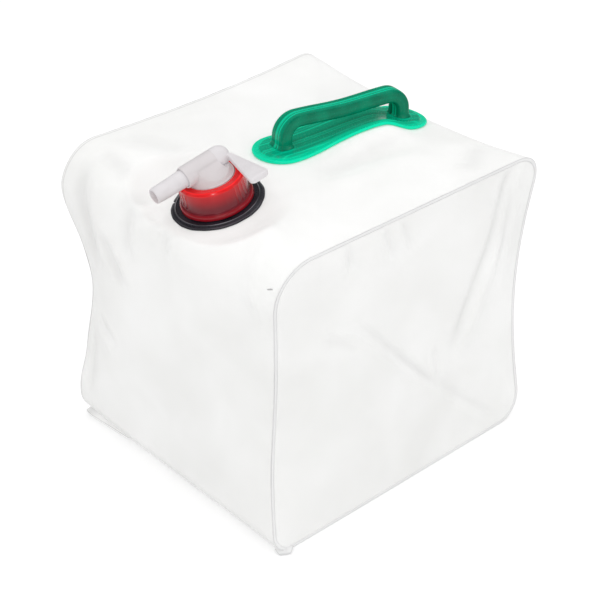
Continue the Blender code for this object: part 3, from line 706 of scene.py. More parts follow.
@dataclass
class BagForm:
    """The soft form of the bag that every part of it shares."""

    width: float = 0.236
    depth: float = 0.259
    height: float = 0.2345
    seam: float = 0.0014
    folds: tuple[float, float, float, float] = (0.034, 0.026, 0.025, 0.017)
    fold_steps: int = 90
    pinch: float = 0.009
    back_sag: float = 0.0115
    sag_reach: float = 0.075
    sag_shift: float = 0.022
    left_sag: float = 0.0035
    corner_lift: float = 0.006
    handle_spot: tuple[float, float] = (0.0027, 0.0375)
    handle_yaw: float = math.radians(-9.5)
    camber: float = 0.0082
    camber_peak: float = 0.024
    camber_fade: float = 0.030
    trough: float = 0.004
    grip_span: float = 0.102
    plate_waist: float = 0.037
    spigot: Triple = (0.009, -0.0845, 0.226)
    tilt: float = math.radians(13)
    lean: float = math.radians(-3)
    dish_radius: float = 0.0401
    dish_curl: float = 0.030
    dish_blend: float = 0.004
    left_kinks: tuple[Triple, ...] = (
        (0.0042, 0.122, 0.036),
        (-0.0036, 0.196, 0.024),
        (-0.0020, 0.032, 0.018),
        (0.0022, 0.007, 0.008),
    )
    right_kinks: tuple[Triple, ...] = ((0.0024, 0.062, 0.055),)

    @property
    def half_width(self) -> float:
        """Half the bag's width."""
        return self.width / 2

    @property
    def half_depth(self) -> float:
        """Half the bag's depth."""
        return self.depth / 2

    @property
    def lap(self) -> float:
        """How far inside the outline the film ends in the seam."""
        return self.seam * 1.2

    def handle_frame(self, x: Array, y: Array) -> tuple[Array, Array]:
        """Place across and along the handle: the offset turned back by the handle's yaw."""
        dx, dy = x - self.handle_spot[0], y - self.handle_spot[1]
        cosine, sine = math.cos(self.handle_yaw), math.sin(self.handle_yaw)
        return dx * cosine + dy * sine, dy * cosine - dx * sine

    def top_height(self, x: Array, y: Array) -> Array:
        """Height of the top before the folds: level, plus camber less the grip's trough, less both sags."""
        across, along = self.handle_frame(x, y)
        half = self.plate_waist / 2
        run = self.grip_span / 2 + np.where(along < self.camber_peak, self.camber_peak, -self.camber_peak)
        lengthwise = ease(1 - np.abs(along - self.camber_peak) / run)
        beside = ease(1 - (np.abs(across) - half) / self.camber_fade)
        trough = np.maximum(1 - (across / half) ** 2, 0)
        lift = lengthwise * (self.camber * beside - self.trough * trough)
        offset = x - self.sag_shift * (1 - (x / self.half_width) ** 2)
        crosswise = np.maximum(1 - (offset / self.half_width) ** 2, 0)
        backwards = np.maximum(1 - (self.half_depth - y) / self.sag_reach, 0)
        sag = self.back_sag * crosswise * backwards**2
        sideways = np.maximum(-x / self.half_width, 0)
        slack = self.left_sag * sideways**2 * np.maximum(1 - (y / self.half_depth) ** 2, 0)
        corner = self.corner_lift * np.maximum((y / self.half_depth - x / self.half_width) / 2, 0) ** 4
        return self.height + lift - sag + corner - slack

    def dish_height(self, x: Array, y: Array) -> Array:
        """The tipped seat of the flange, plus outside^2 / (2 curl) beyond its edge."""
        dx, dy = x - self.spigot[0], y - self.spigot[1]
        fore = dy * math.tan(self.tilt) / math.cos(self.lean)
        seat = self.spigot[2] + fore - dx * math.tan(self.lean)
        outside = np.maximum(np.hypot(dx, dy) - self.dish_radius, 0)
        return seat + outside**2 / (2 * self.dish_curl)

    def warp(self, points: Array) -> Array:
        """Move points of the plain rounded box to the soft bag.

        The upright edges draw in by pinch * sin(pi z / height) times the cube of the distance
        from the middle, and the two front ones wander by bells of the height besides; heights
        follow the top by (z / height)^6 and stay under the dish.

        Args:
            points: Any array of points.

        Returns:
            The moved points.
        """
        x, y, z = points[..., 0], points[..., 1], points[..., 2]
        share = np.clip(z / self.height, 0, 1)
        waist = self.pinch * np.sin(math.pi * share)
        soft_x = x * (1 - waist / self.half_width * np.minimum(np.abs(y) / self.half_depth, 1) ** 3)
        soft_y = y * (1 - waist / self.half_depth * np.minimum(np.abs(x) / self.half_width, 1) ** 3)
        front = np.clip(-y / self.half_depth, 0, 1) ** 3
        left = front * np.clip(-x / self.half_width, 0, 1) ** 3
        right = front * np.clip(x / self.half_width, 0, 1) ** 3
        for weight, kinks in ((left, self.left_kinks), (-right, self.right_kinks)):
            drawn = weight * sum(depth * bell(z - level, reach) for depth, level, reach in kinks)
            soft_x, soft_y = soft_x + drawn, soft_y + drawn
        moved = (self.top_height(x, y) - self.height) * np.maximum(z / self.height, 0) ** 6
        soft_z = soft_min(z + moved, self.dish_height(soft_x, soft_y), self.dish_blend)
        return np.stack([soft_x, soft_y, soft_z], axis=-1)

    def span(self, inset: float, level: Array) -> tuple[Array, Array]:
        """Front and back of the rounded outline at a level: R - sqrt(R^2 - h^2) further in at the folds."""
        sides = []
        for corners in ((0, 3), (1, 2)):
            drawn = 0.0
            for fold, past_fold in zip((self.folds[corner] for corner in corners), (level - self.height, -level)):
                radius = fold - inset
                drawn = drawn + radius - np.sqrt(np.maximum(radius**2 - np.maximum(past_fold + fold, 0) ** 2, 0))
            sides.append(drawn)
        return inset - self.half_depth + sides[0], self.half_depth - inset - sides[1]

    def outline(self, inset: float, count: int) -> Array:
        """The side outline as count evenly stepped (y, z), from the top's front corner round the back.

        Each corner is a quarter circle round (end - radius) of the two sides that meet there.
        """
        corners = []
        for index, (fold, end_y, end_z) in enumerate(zip(self.folds, (-1, 1, 1, -1), (1, 1, -1, -1))):
            radius = fold - inset
            turn = RIGHT_ANGLE * (2 - index) - np.linspace(0, RIGHT_ANGLE, self.fold_steps)
            y = end_y * (self.half_depth - inset - radius) + radius * np.cos(turn)
            z = self.height / 2 + end_z * (self.height / 2 - inset - radius) + radius * np.sin(turn)
            corners.append(np.stack([y, z], axis=-1))
        rough = np.concatenate([*corners, corners[0][:1]])
        steps = np.concatenate([[0], np.cumsum(np.hypot(*np.diff(rough, axis=0).T))])
        even = np.linspace(0, steps[-1], count, endpoint=False)
        return np.stack([np.interp(even, steps, rough[:, 0]), np.interp(even, steps, rough[:, 1])], axis=-1)


def crumple(points: Array, seed: int, amount: float) -> Array:
    """Gentle unevenness at each point: the amount times a sum of sine waves of seeded directions and phases."""
    source = np.random.default_rng(seed)
    total = np.zeros(points.shape[:-1])
    for wave in (30.0, 45.0, 70.0, 95.0, 130.0):
        heading = source.normal(size=3)
        heading *= wave / np.linalg.norm(heading)
        total += np.sin(points @ heading + source.uniform(0, TURN)) * 30.0 / wave
    return amount * total / 3.0


@dataclass
class FilmShell:
    """The film of the bag: one sheet wrapped round, and a panel in each side."""

    form: BagForm
    thickness: float = 0.0004
    calm_flange: float = 0.036
    calm_plate: tuple[float, float] = (0.051, 0.0225)
    crowding: float = 0.85
    level_crowding: float = 0.6
    rows: int = 440
    columns: int = 150
    levels: int = 216
    weld: float = 0.0021
    painted_crease_shade: float = 0.20
    neck_hole: float = 0.0225
    lowest: float = 0.0002
    unevenness: float = 0.0008
    right_creases: tuple[Crease, ...] = (
        Crease((0.042, 0.092), (0.088, 0.186), 0.0060, 0.0024, 0.8),
        Crease((0.078, 0.152), (0.0985, 0.244), 0.0058, 0.0026, 0.8),
        Crease((0.092, 0.130), (0.1015, 0.222), 0.0050, 0.0018, 0.7),
        Crease((-0.062, 0.174), (0.036, 0.066), 0.0034, 0.0013, 0.5),
        Crease((-0.022, 0.128), (0.034, 0.069), 0.0030, 0.0009, 0.5),
        Crease((0.026, 0.078), (0.102, 0.008), 0.0038, 0.0009, 0.5),
        Crease((0.0235, 0.114), (0.0315, 0.070), 0.0032, 0.0010, 0.5),
        Crease((-0.050, 0.144), (-0.088, 0.166), 0.0040, 0.0009),
        Crease((-0.064, 0.238), (-0.060, 0.206), 0.0032, 0.0013),
        Crease((-0.032, 0.238), (-0.020, 0.200), 0.0034, 0.0012),
        Crease((-0.016, 0.238), (-0.002, 0.198), 0.0034, 0.0012),
    )
    front_creases: tuple[Crease, ...] = (
        Crease((-0.085, 0.138), (-0.094, 0.236), 0.0085, 0.0030, 0.5),
        Crease((-0.040, 0.176), (-0.035, 0.226), 0.0055, 0.0021, 0.7),
        Crease((-0.044, 0.144), (-0.074, 0.190), 0.0065, 0.0021),
        Crease((0.0060, 0.192), (0.0025, 0.238), 0.0040, 0.0016),
        Crease((-0.094, 0.102), (-0.060, 0.087), 0.0055, 0.0013),
        Crease((-0.100, 0.090), (-0.104, 0.020), 0.0070, 0.0016),
        Crease((0.086, 0.244), (0.101, 0.190), 0.0085, -0.0017, 0.0),
    )
    top_creases: tuple[Crease, ...] = (
        Crease((-0.100, -0.108), (-0.052, -0.112), 0.0080, 0.0018),
        Crease((-0.038, -0.133), (-0.008, -0.119), 0.0042, 0.0020),
        Crease((-0.052, -0.136), (-0.028, -0.106), 0.0055, 0.0018),
        Crease((-0.014, -0.140), (-0.002, -0.116), 0.0038, 0.0015),
        Crease((0.040, -0.028), (0.044, 0.076), 0.0100, 0.0022),
        Crease((-0.108, -0.082), (-0.050, -0.060), 0.0090, 0.0014),
        Crease((0.068, -0.082), (0.093, -0.128), 0.0100, -0.0019, 0.0),
        Crease((0.070, 0.108), (0.104, 0.060), 0.0090, 0.0016),
    )

    def calm(self, points: Array) -> Array:
        """Weight of the creases: nothing under the flange and the handle's plate."""
        form = self.form
        x, y = points[..., 0], points[..., 1]
        high = ease((points[..., 2] - 0.19) / 0.02)
        flange = ease((np.hypot(x - form.spigot[0], y - form.spigot[1]) - self.calm_flange) / 0.010)
        across, along = form.handle_frame(x, y)
        beyond = np.maximum(np.abs(along) - self.calm_plate[0], 0)
        plate = ease((np.hypot(beyond, across) - self.calm_plate[1]) / 0.012)
        return 1 - high * (1 - flange * plate)

    @staticmethod
    def creased(creases: tuple[Crease, ...], first: Array, second: Array) -> tuple[Array, Array]:
        """Height and painted shade of all the creases of a face."""
        height = sum(crease.height(first, second) for crease in creases)
        return height, sum(crease.shade(first, second) for crease in creases)

    def wrap(self) -> Patch:
        """The wrapped sheet: the side outline carried across, warped, then creased outwards.

        Place across of column s: half (2 s - 1 - crowding sin(2 pi s) / pi), crowded at both sides.
        """
        form = self.form
        outline = form.outline(0.0, self.rows)
        half = form.half_width - form.lap
        share = np.linspace(0, 1, self.columns)
        across = half * (2 * share - 1 - self.crowding * np.sin(TURN * share) / math.pi)
        plain = np.empty((self.rows, self.columns, 3))
        plain[..., 0] = across[None, :]
        plain[..., 1:] = outline[:, None, :]
        points = form.warp(plain)
        down = np.roll(points, -1, axis=0) - np.roll(points, 1, axis=0)
        side = np.gradient(points, axis=1)
        outwards = away_from_middle(unit(np.cross(side, down)), points, form.height)
        front = ease((-plain[..., 1] - 0.100) / 0.025)
        top = ease((plain[..., 2] - 0.205) / 0.020)
        height, shade = crumple(points, 11, self.unevenness), 0.0
        for creases, face, weight in ((self.front_creases, 2, front), (self.top_creases, 1, top)):
            rise, grey = self.creased(creases, points[..., 0], points[..., face])
            height, shade = height + weight * rise, shade + weight * grey
        edge = ease((half - np.abs(plain[..., 0])) / 0.014)
        base = ease(plain[..., 2] / 0.012)
        weight = edge * base * self.calm(points)
        # painted shade: the film greys along each crease's furrow, carried in the line mask beside the weld line
        shade = self.painted_crease_shade * shade * weight
        points = points + outwards * (height * weight)[..., None]
        middle = (points + np.roll(points, -1, axis=0))[:, :-1] / 2
        spot = np.hypot(middle[..., 0] - form.spigot[0], middle[..., 1] - form.spigot[1])
        keep = (spot > self.neck_hole) | (middle[..., 2] < 0.15)
        points[..., 2] = np.maximum(points[..., 2], self.lowest)
        welded = 0.55 * bell(points[..., 0] + half - self.weld, 0.00035) * ease(plain[..., 2] / 0.03)
        return Patch(points, loop_rows=True, keep=keep, masks={"line": np.clip(welded + shade, 0, 1)})

    def panel(self, side: Side) -> Patch:
        """A side panel in level rows from front to back, crowded at both ends, warped, then creased.

        Level of row s: z = low + (high - low) (s - crowding sin(2 pi s) / (2 pi)).
        """
        form = self.form
        inset = form.lap
        share = np.linspace(0, 1, self.levels)[:, None]
        level = share - self.level_crowding * np.sin(TURN * share) / TURN
        level = inset + (form.height - 2 * inset) * level
        front, back = form.span(inset, level)
        plain = np.empty((self.levels, self.levels, 3))
        plain[..., 0] = side * (form.half_width - form.seam)
        plain[..., 1] = front + (back - front) * share.T
        plain[..., 2] = level
        points = form.warp(plain)
        creases, seed = (self.right_creases, 23) if side is Side.RIGHT else (self.right_creases[:6:2], 29)
        height, shade = self.creased(creases, points[..., 1], points[..., 2])
        height = height + crumple(points, seed, self.unevenness)
        ends = np.minimum(plain[..., 1] - front, back - plain[..., 1])
        room = np.minimum(ends, np.minimum(level, form.height - level))
        weight = ease((room - inset) / 0.011)
        points[..., 0] += side * height * weight
        order = slice(None) if side is Side.RIGHT else slice(None, None, -1)
        # painted shade: greyer along each crease's furrow
        masks = {"line": np.clip(self.painted_crease_shade * shade * weight, 0, 1)[:, order]}
        return Patch(points[:, order], masks=masks)

    def build(self) -> None:
        """Make the wrap and both panels, part each at the fold level, and tie them to the frame."""
        self.sheet("film_wrap", self.wrap(), ("top_sheet",), ("front_wall", "back_wall", "base_sheet"))
        for side in Side:
            name = side.name.lower()
            self.sheet("film_" + name + "_panel", self.panel(side), (), (name + "_panel",))

    def sheet(self, name: str, patch: Patch, high: tuple[str, ...], low: tuple[str, ...]) -> None:
        """Make one sheet in its two parts, which stand for the high and the low nodes."""
        whole = Piece.build(name + "_whole", [patch], closed=False)
        Piece.face_outwards(whole)
        part_at_fold(whole, name, FILM, high, low, self.thickness)


def dress(piece: Object, finish: Finish, body: Body, *nodes: str) -> None:
    """Give a piece its finish, and tie it to its body.

    Args:
        piece: The new piece.
        finish: Its finish.
        body: The body that it rides on.
        nodes: The nodes that it stands for.
    """
    piece.data.materials.clear()
    piece.data.materials.append(finish.material())
    if nodes:
        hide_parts(*nodes)
    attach(piece, body.value)
    LOG.info("%s: %d faces", piece.name, len(piece.data.polygons))


def fold_down(piece: Object) -> None:
    """Give a piece below the fold level its own copy of its mesh."""
    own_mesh(piece)


def part_at_fold(
    whole: Object, name: str, finish: Finish, high: tuple[str, ...], low: tuple[str, ...], wall: float = 0.0
) -> None:
    """Part a piece of the bag at the fold level, and finish and tie both parts.

    Args:
        whole: The whole piece, which goes.
        name: Start of the parts' names.
        finish: Their finish.
        high: The nodes that the upper part stands for.
        low: The nodes that the lower part stands for.
        wall: Thickness of an open sheet, or 0 for a closed form.
    """
    for above, end, body, nodes in ((True, "_crown", Body.TOP, high), (False, "_walls", Body.ROOT, low)):
        piece = Piece.part(whole, name + end, above, fill=not wall)
        if wall:
            Piece.thicken(piece, wall)
        dress(piece, finish, body, *nodes)
        if not above:
            fold_down(piece)
    bpy.data.objects.remove(whole)


@dataclass
class FinSeam:
    """The welded fin round one side panel, with a pressed line along each of its edges."""

    form: BagForm
    side: Side
    steps: int = 460
    sides: int = 28
    reach: float = 0.0015
    half_thickness: float = 0.0005

    def frames(self) -> tuple[Array, Array, Array]:
        """Places on the warped outline, with the directions outwards and sideways there."""
        form = self.form
        plain = np.empty((self.steps, 3))
        plain[:, 0] = self.side * (form.half_width - form.seam)
        plain[:, 1:] = form.outline(form.seam, self.steps)
        path = form.warp(plain)
        along = unit(np.roll(path, -1, axis=0) - np.roll(path, 1, axis=0))
        sideways = unit(np.array([1.0, 0.0, 0.0]) - along * along[:, :1])
        return path, away_from_middle(np.cross(sideways, along), path, form.height), sideways

    def build(self) -> None:
        """Carry a flat rounded band round the outline and tie both parts to the frame.

        Section: outwards = reach * sgn(cos a) |cos a|^0.5, sideways = half_thickness * sgn(sin a) |sin a|^0.7.
        """
        path, outwards, sideways = self.frames()
        turn = circle(self.sides)
        out = squared(np.cos(turn), 0.5)
        beside = squared(np.sin(turn), 0.7) * self.half_thickness
        press = 1 - 0.4 * bell(np.abs(out) - 0.72, 0.2)
        way = np.linspace(0, math.pi, self.steps)[:, None]
        points = (
            path[:, None]
            + outwards[:, None] * (out * self.reach * (1 + 0.05 * np.sin(58 * way)))[..., None]
            + sideways[:, None] * (beside * press)[None, :, None]
        )
        points[..., 2] = np.maximum(points[..., 2], FLOOR_GAP)
        line = 0.8 * bell(np.abs(out) - 0.8, 0.14) * (0.85 + 0.15 * np.sin(26 * way))
        masks = {"line": line * (0.4 + 0.6 * ease((points[..., 2] - 0.004) / 0.02))}
        name = self.side.name.lower()
        whole = Piece.build(name + "_fin_whole", [Patch(points, loop_rows=True, loop_columns=True, masks=masks)])
        part_at_fold(whole, name + "_fin", SEAM, (), (name + "_seam",))


@dataclass
class WeldTab:
    """A small leaf of film that stands out at the end of a weld.

    Attributes:
        name: Its name.
        root: Where it leaves the bag.
        heading: Which way it points.
        normal: The way that its face looks.
        length: How far it stands out.
        width: Its width at the root.
        tip: Share of the width left at its end.
        thickness: Its thickness at the root.
        high: Whether it stands on the part that sinks with the top.
        dark: How dark it is pressed.
        droop: How far its end bends down, as a share of its length.
        plain: Whether it is unpressed film.
        sides: Points round its section.
    """

    name: str
    root: Triple
    heading: Triple
    normal: Triple
    length: float
    width: float
    tip: float = 0.6
    thickness: float = 0.0008
    high: bool = False
    dark: float = 0.05
    droop: float = 0.12
    plain: bool = False
    sides: int = 24

    def build(self) -> None:
        """A rounded leaf: half width (1 - (1 - tip) s) W / 2 with a rounded end, thinned to its edge."""
        heading = Vector(self.heading).normalized()
        normal = Vector(self.normal)
        normal = (normal - heading * normal.dot(heading)).normalized()
        beside = heading.cross(normal)
        share = np.concatenate([np.linspace(0, 0.8, 18), 0.8 + 0.2 * np.sin(np.linspace(0, RIGHT_ANGLE, 10))[1:]])
        end = np.sqrt(np.maximum(1 - np.clip((share - 0.8) / 0.2, 0, 1) ** 2, 0))
        half = self.width / 2 * (1 - (1 - self.tip) * share) * (0.55 + 0.45 * end) * np.where(share < 1, 1, 0)
        turn = circle(self.sides)
        across = half[:, None] * squared(np.cos(turn), 0.6)
        thick = self.thickness / 2 * (0.3 + 0.7 * end)[:, None] * np.sin(turn) * np.where(share < 1, 1, 0)[:, None]
        bend = -self.droop * self.length * share[:, None] ** 2
        along = np.repeat((share * self.length)[:, None], self.sides, axis=1)
        points = (
            np.array(self.root)
            + along[..., None] * np.array(heading)
            + across[..., None] * np.array(beside)
            + (thick + bend)[..., None] * np.array(normal)
        )
        points[..., 2] = np.maximum(points[..., 2], FLOOR_GAP)
        foot = np.repeat(points[:1].mean(axis=1, keepdims=True), self.sides, axis=1)
        points = np.concatenate([foot, points])
        edge = bell(share - 0.92, 0.12)[:, None] + bell(np.abs(np.cos(turn)) - 0.95, 0.12)[None]
        line = np.clip(self.dark + 0.35 * edge, 0, 1)
        line = np.concatenate([line[:1], line])
        piece = Piece.build(self.name, [Patch(points, loop_columns=True, masks={"line": line})])
        dress(piece, FILM if self.plain else SEAM, Body.TOP if self.high else Body.ROOT)
        if not self.high:
            fold_down(piece)


TABS = (
    WeldTab(
        "left_corner_tab",
        (-0.062, -0.1180, 0.0032),
        (-1.0, -0.085, 0.0),
        (0.0, -0.1, 1.0),
        0.052,
        0.012,
        0.95,
        dark=0.0,
        droop=0.0,
        plain=True,
    ),
    WeldTab("front_corner_tab", (0.1140, -0.1190, 0.0025), (0.75, -0.5, -0.2), (0.3, -0.3, 1.0), 0.0060, 0.014),
    WeldTab(
        "weld_nick",
        (0.1120, -0.1262, 0.2205),
        (-0.25, -1.0, 0.35),
        (-0.2, 0.4, 1.0),
        0.0030,
        0.0030,
        high=True,
        dark=0.9,
    ),
)


# The spigot
@dataclass
class Axis:
    """A turned place: points of its own frame go to the world by its matrix."""

    matrix: Matrix

    @classmethod
    def spigot(cls, form: BagForm) -> "Axis":
        """The tilted axis that flange, neck, ring and tap share."""
        turn = Euler((form.tilt, form.lean, 0.0)).to_matrix().to_4x4()
        return cls(Matrix.Translation(form.spigot) @ turn)

    def barrel(self, rise: float, yaw: float) -> "Axis":
        """The frame of the barrel: up the axis by the rise, turned by the yaw."""
        return Axis(self.matrix @ Matrix.Translation((0, 0, rise)) @ Matrix.Rotation(yaw, 4, "Z"))

    def world(self, points: Array) -> Array:
        """Points of this frame in the world."""
        matrix = np.array(self.matrix)
        return points @ matrix[:3, :3].T + matrix[:3, 3]


def revolve(profile: Array, steps: int, swell: Array | None = None) -> Array:
    """Turn (radius, height) pairs about Z: x = r cos a, y = r sin a, with r grown by the swell, if any."""
    turn = circle(steps)
    radius = np.repeat(profile[:, :1], steps, axis=1)
    if swell is not None:
        radius = radius + swell
    height = np.repeat(profile[:, 1:2], steps, axis=1)
    return np.stack([radius * np.cos(turn), radius * np.sin(turn), height], axis=-1)


def rounded(corners: list[Triple], steps: int = 6, closed: bool = True) -> Array:
    """A profile with rounded corners: each corner's radius is laid as a quadratic arc between its sides.

    Args:
        corners: Each corner's (radius, height, rounding).
        steps: Points per rounding.
        closed: Whether the profile closes on itself.

    Returns:
        The (radius, height) pairs.
    """
    places = np.array([corner[:2] for corner in corners])
    points: list[Array] = []
    count = len(corners)
    for index, (_, _, rounding) in enumerate(corners):
        here = places[index]
        ends = not closed and index in (0, count - 1)
        if ends or rounding <= 0:
            points.append(here[None])
            continue
        before = places[index - 1] - here
        after = places[(index + 1) % count] - here
        start = here + before * min(rounding / np.hypot(*before), 0.5)
        end = here + after * min(rounding / np.hypot(*after), 0.5)
        share = np.linspace(0, 1, steps)[:, None]
        points.append((1 - share) ** 2 * start + 2 * share * (1 - share) * here + share**2 * end)
    return np.concatenate(points)


def refine(profile: Array, longest: float, closed: bool = True) -> Array:
    """Split a profile's long sides so that no step is longer than the longest."""
    following = np.concatenate([profile[1:], profile[:1]]) if closed else profile[1:]
    points = []
    for here, there in zip(profile, following):
        count = max(int(math.ceil(np.hypot(*(there - here)) / longest)), 1)
        share = np.linspace(0, 1, count, endpoint=False)[:, None]
        points.append(here + (there - here) * share)
    if not closed:
        points.append(profile[-1:])
    return np.concatenate(points)


@dataclass
class NeckFlange:
    """The black flange welded to the film, with its threaded neck."""

    axis: Axis
    bore: float = 0.018
    neck: float = 0.0205
    top: float = 0.0171
    tail: float = 0.008
    brim: float = 0.0331
    face: float = 0.0019
    lift: float = 0.0003
    thread_height: float = 0.00075
    steps: int = 320

    def build(self) -> None:
        """Turn the profile; the neck's outside carries a thread, the brim a slightly wavy edge."""
        corners = [
            (self.bore, self.top, 0.0004),
            (self.neck, self.top, 0.0005),
            (self.neck, self.face, 0.0006),
            (0.0292, self.face, 0.0003),
            (0.0295, self.face + 0.0006, 0.0002),
            (0.0299, self.face + 0.0006, 0.0002),
            (0.0302, self.face - 0.0001, 0.0003),
            (self.brim, self.face - 0.0009, 0.0006),
            (self.brim, self.lift, 0.0001),
            (self.neck, self.lift, 0.0),
            (self.neck, -self.tail, 0.0004),
            (self.bore, -self.tail, 0.0004),
        ]
        profile = refine(rounded(corners), 0.0005)
        turn = circle(self.steps)
        radius, height = profile[:, :1], profile[:, 1:]
        on_thread = (radius > self.neck - 0.0001) * ease((height - 0.0045) / 0.002) * ease((0.0160 - height) / 0.0015)
        on_thread = on_thread * (radius < self.neck + 0.0001)
        phase = height / THREAD_PITCH - turn / TURN
        thread = on_thread * self.thread_height * ease(1.6 * np.cos(TURN * phase) - 0.4)
        outer = ease((radius - 0.0300) / 0.0025)
        wave = 0.00022 * np.sin(3 * turn + 0.6) + 0.00014 * np.sin(8 * turn) + 0.00008 * np.sin(19 * turn + 1)
        nick = -0.0028 * bell(past(turn, 3.75), 0.022)
        points = revolve(profile, self.steps, thread + outer * (wave + nick))
        # painted highlight: pale lines along the brim's raised ridge and near its outer edge, patchy round the turn
        crest = bell(radius - 0.0297, 0.00025) * (height > self.face + 0.0003)
        crest = crest + 0.4 * bell(radius - 0.0323, 0.0003) * (height > self.face - 0.0010)
        patchy_highlight = 0.55 + 0.45 * np.sin(5 * turn + 1.3) * np.sin(2 * turn)
        patch = Patch(self.axis.world(points), loop_rows=True, loop_columns=True, masks={"line": crest * patchy_highlight})
        dress(Piece.build("welded_flange", [patch]), BLACK, Body.TOP, "neck_flange")


@dataclass
class ScrewRing:
    """The red ring: a bead at its foot, groups of faint ribs, a rolled top edge and a thread inside."""

    axis: Axis
    bore: float = 0.0215
    wall: float = 0.0237
    skirt: float = 0.0261
    foot: float = 0.0025
    skirt_height: float = 0.0045
    top: float = 0.0232
    lip: float = 0.0172
    bevel: float = 0.0014
    lip_thickness: float = 0.0020
    rib_depth: float = 0.00035
    rib_groups: int = 3
    ribs_in_group: int = 4
    rib_start: float = 15
    rib_step: float = 9
    steps: int = 480

    def ribs(self, turn: Array) -> Array:
        """The ribs by the turn: one bell each, in groups spread evenly round the wall."""
        groups = self.rib_start + 360 / self.rib_groups * np.arange(self.rib_groups)
        members = self.rib_step * (np.arange(self.ribs_in_group) - (self.ribs_in_group - 1) / 2)
        places = np.radians(groups[:, None] + members).ravel()
        return sum(bell(past(turn, place), 0.020) for place in places)

    def build(self) -> None:
        """Turn the profile, grown by the ribs: depth * bell of the turn from each rib's own."""
        skirt_top = self.foot + self.skirt_height
        corners = [
            (self.lip, self.top - 0.0004, 0.0003),
            (self.lip + 0.0005, self.top, 0.0004),
            (self.wall - self.bevel - 0.0003, self.top - 0.0001, 0.0004),
            (self.wall - 0.0001, self.top - self.bevel, 0.0005),
            (self.wall - 0.0001, self.top - self.bevel - 0.0008, 0.0003),
            (self.wall + 0.0002, skirt_top + 0.0002, 0.0004),
            (self.skirt - self.bevel, skirt_top - 0.0002, 0.0006),
            (self.skirt - 0.0002, skirt_top - self.bevel, 0.0008),
            (self.skirt, self.foot + 0.0004, 0.0004),
            (self.skirt - 0.0005, self.foot, 0.0002),
            (self.bore, self.foot, 0.0003),
            (self.bore, self.top - self.lip_thickness, 0.0002),
            (self.lip, self.top - self.lip_thickness, 0.0002),
        ]
        profile = refine(rounded(corners), 0.0006)
        turn = circle(self.steps)
        radius, height = profile[:, :1], profile[:, 1:]
        on_wall = (radius > self.wall - 0.0008) * (radius < self.wall + 0.0012)
        on_wall = on_wall * ease((height - skirt_top) / 0.0015) * ease((self.top - 0.0016 - height) / 0.003)
        ribs = self.ribs(turn)
        phase = height / THREAD_PITCH - turn / TURN
        inside = (radius < self.bore + 0.0001) * (radius > self.bore - 0.0001)
        thread = inside * ease((height - 0.005) / 0.002) * ease((0.016 - height) / 0.002)
        groove = thread * 0.0006 * ease(1.6 * np.cos(TURN * phase + math.pi) - 0.4)
        points = revolve(profile, self.steps, on_wall * ribs * self.rib_depth - groove)
        # painted shade: the outer wall under the rolled edge darkens, more towards the foot and less on the bead; the
        # ribs stay lighter as painted highlights; the inside is dark
        outside = (radius > self.wall - 0.0007) * ease((self.top - self.bevel - 0.0002 - height) / 0.0012)
        low = ease((self.top - self.bevel - height) / 0.013)
        deep = outside * (0.38 + 0.62 * low) * (1 - 0.2 * ease((radius - self.wall - 0.0008) / 0.001))
        deep = deep - 0.15 * on_wall * (bell(ribs - 1, 0.5))[None]
        deep = np.maximum(deep, 0.8 * (radius < self.bore + 0.0001) * (height < self.top - 0.0006))
        # painted highlight: glow along the outer edge of the rolled top and along the lip, uneven round the turn
        edge = bell(radius - self.wall + self.bevel + 0.0002, 0.0004) * (height > self.top - 0.0008)
        edge = edge + 0.6 * bell(radius - self.lip - 0.0004, 0.0005) * (height > self.top - 0.0006)
        thin = np.clip(edge * (0.75 + 0.25 * np.sin(3 * turn + 0.8)), 0, 1)
        masks = {"deep": np.clip(deep, 0, 1), "thin": thin}
        patch = Patch(self.axis.world(points), loop_rows=True, loop_columns=True, masks=masks)
        dress(Piece.build("red_screw_ring", [patch]), RED, Body.RING, "screw_ring")


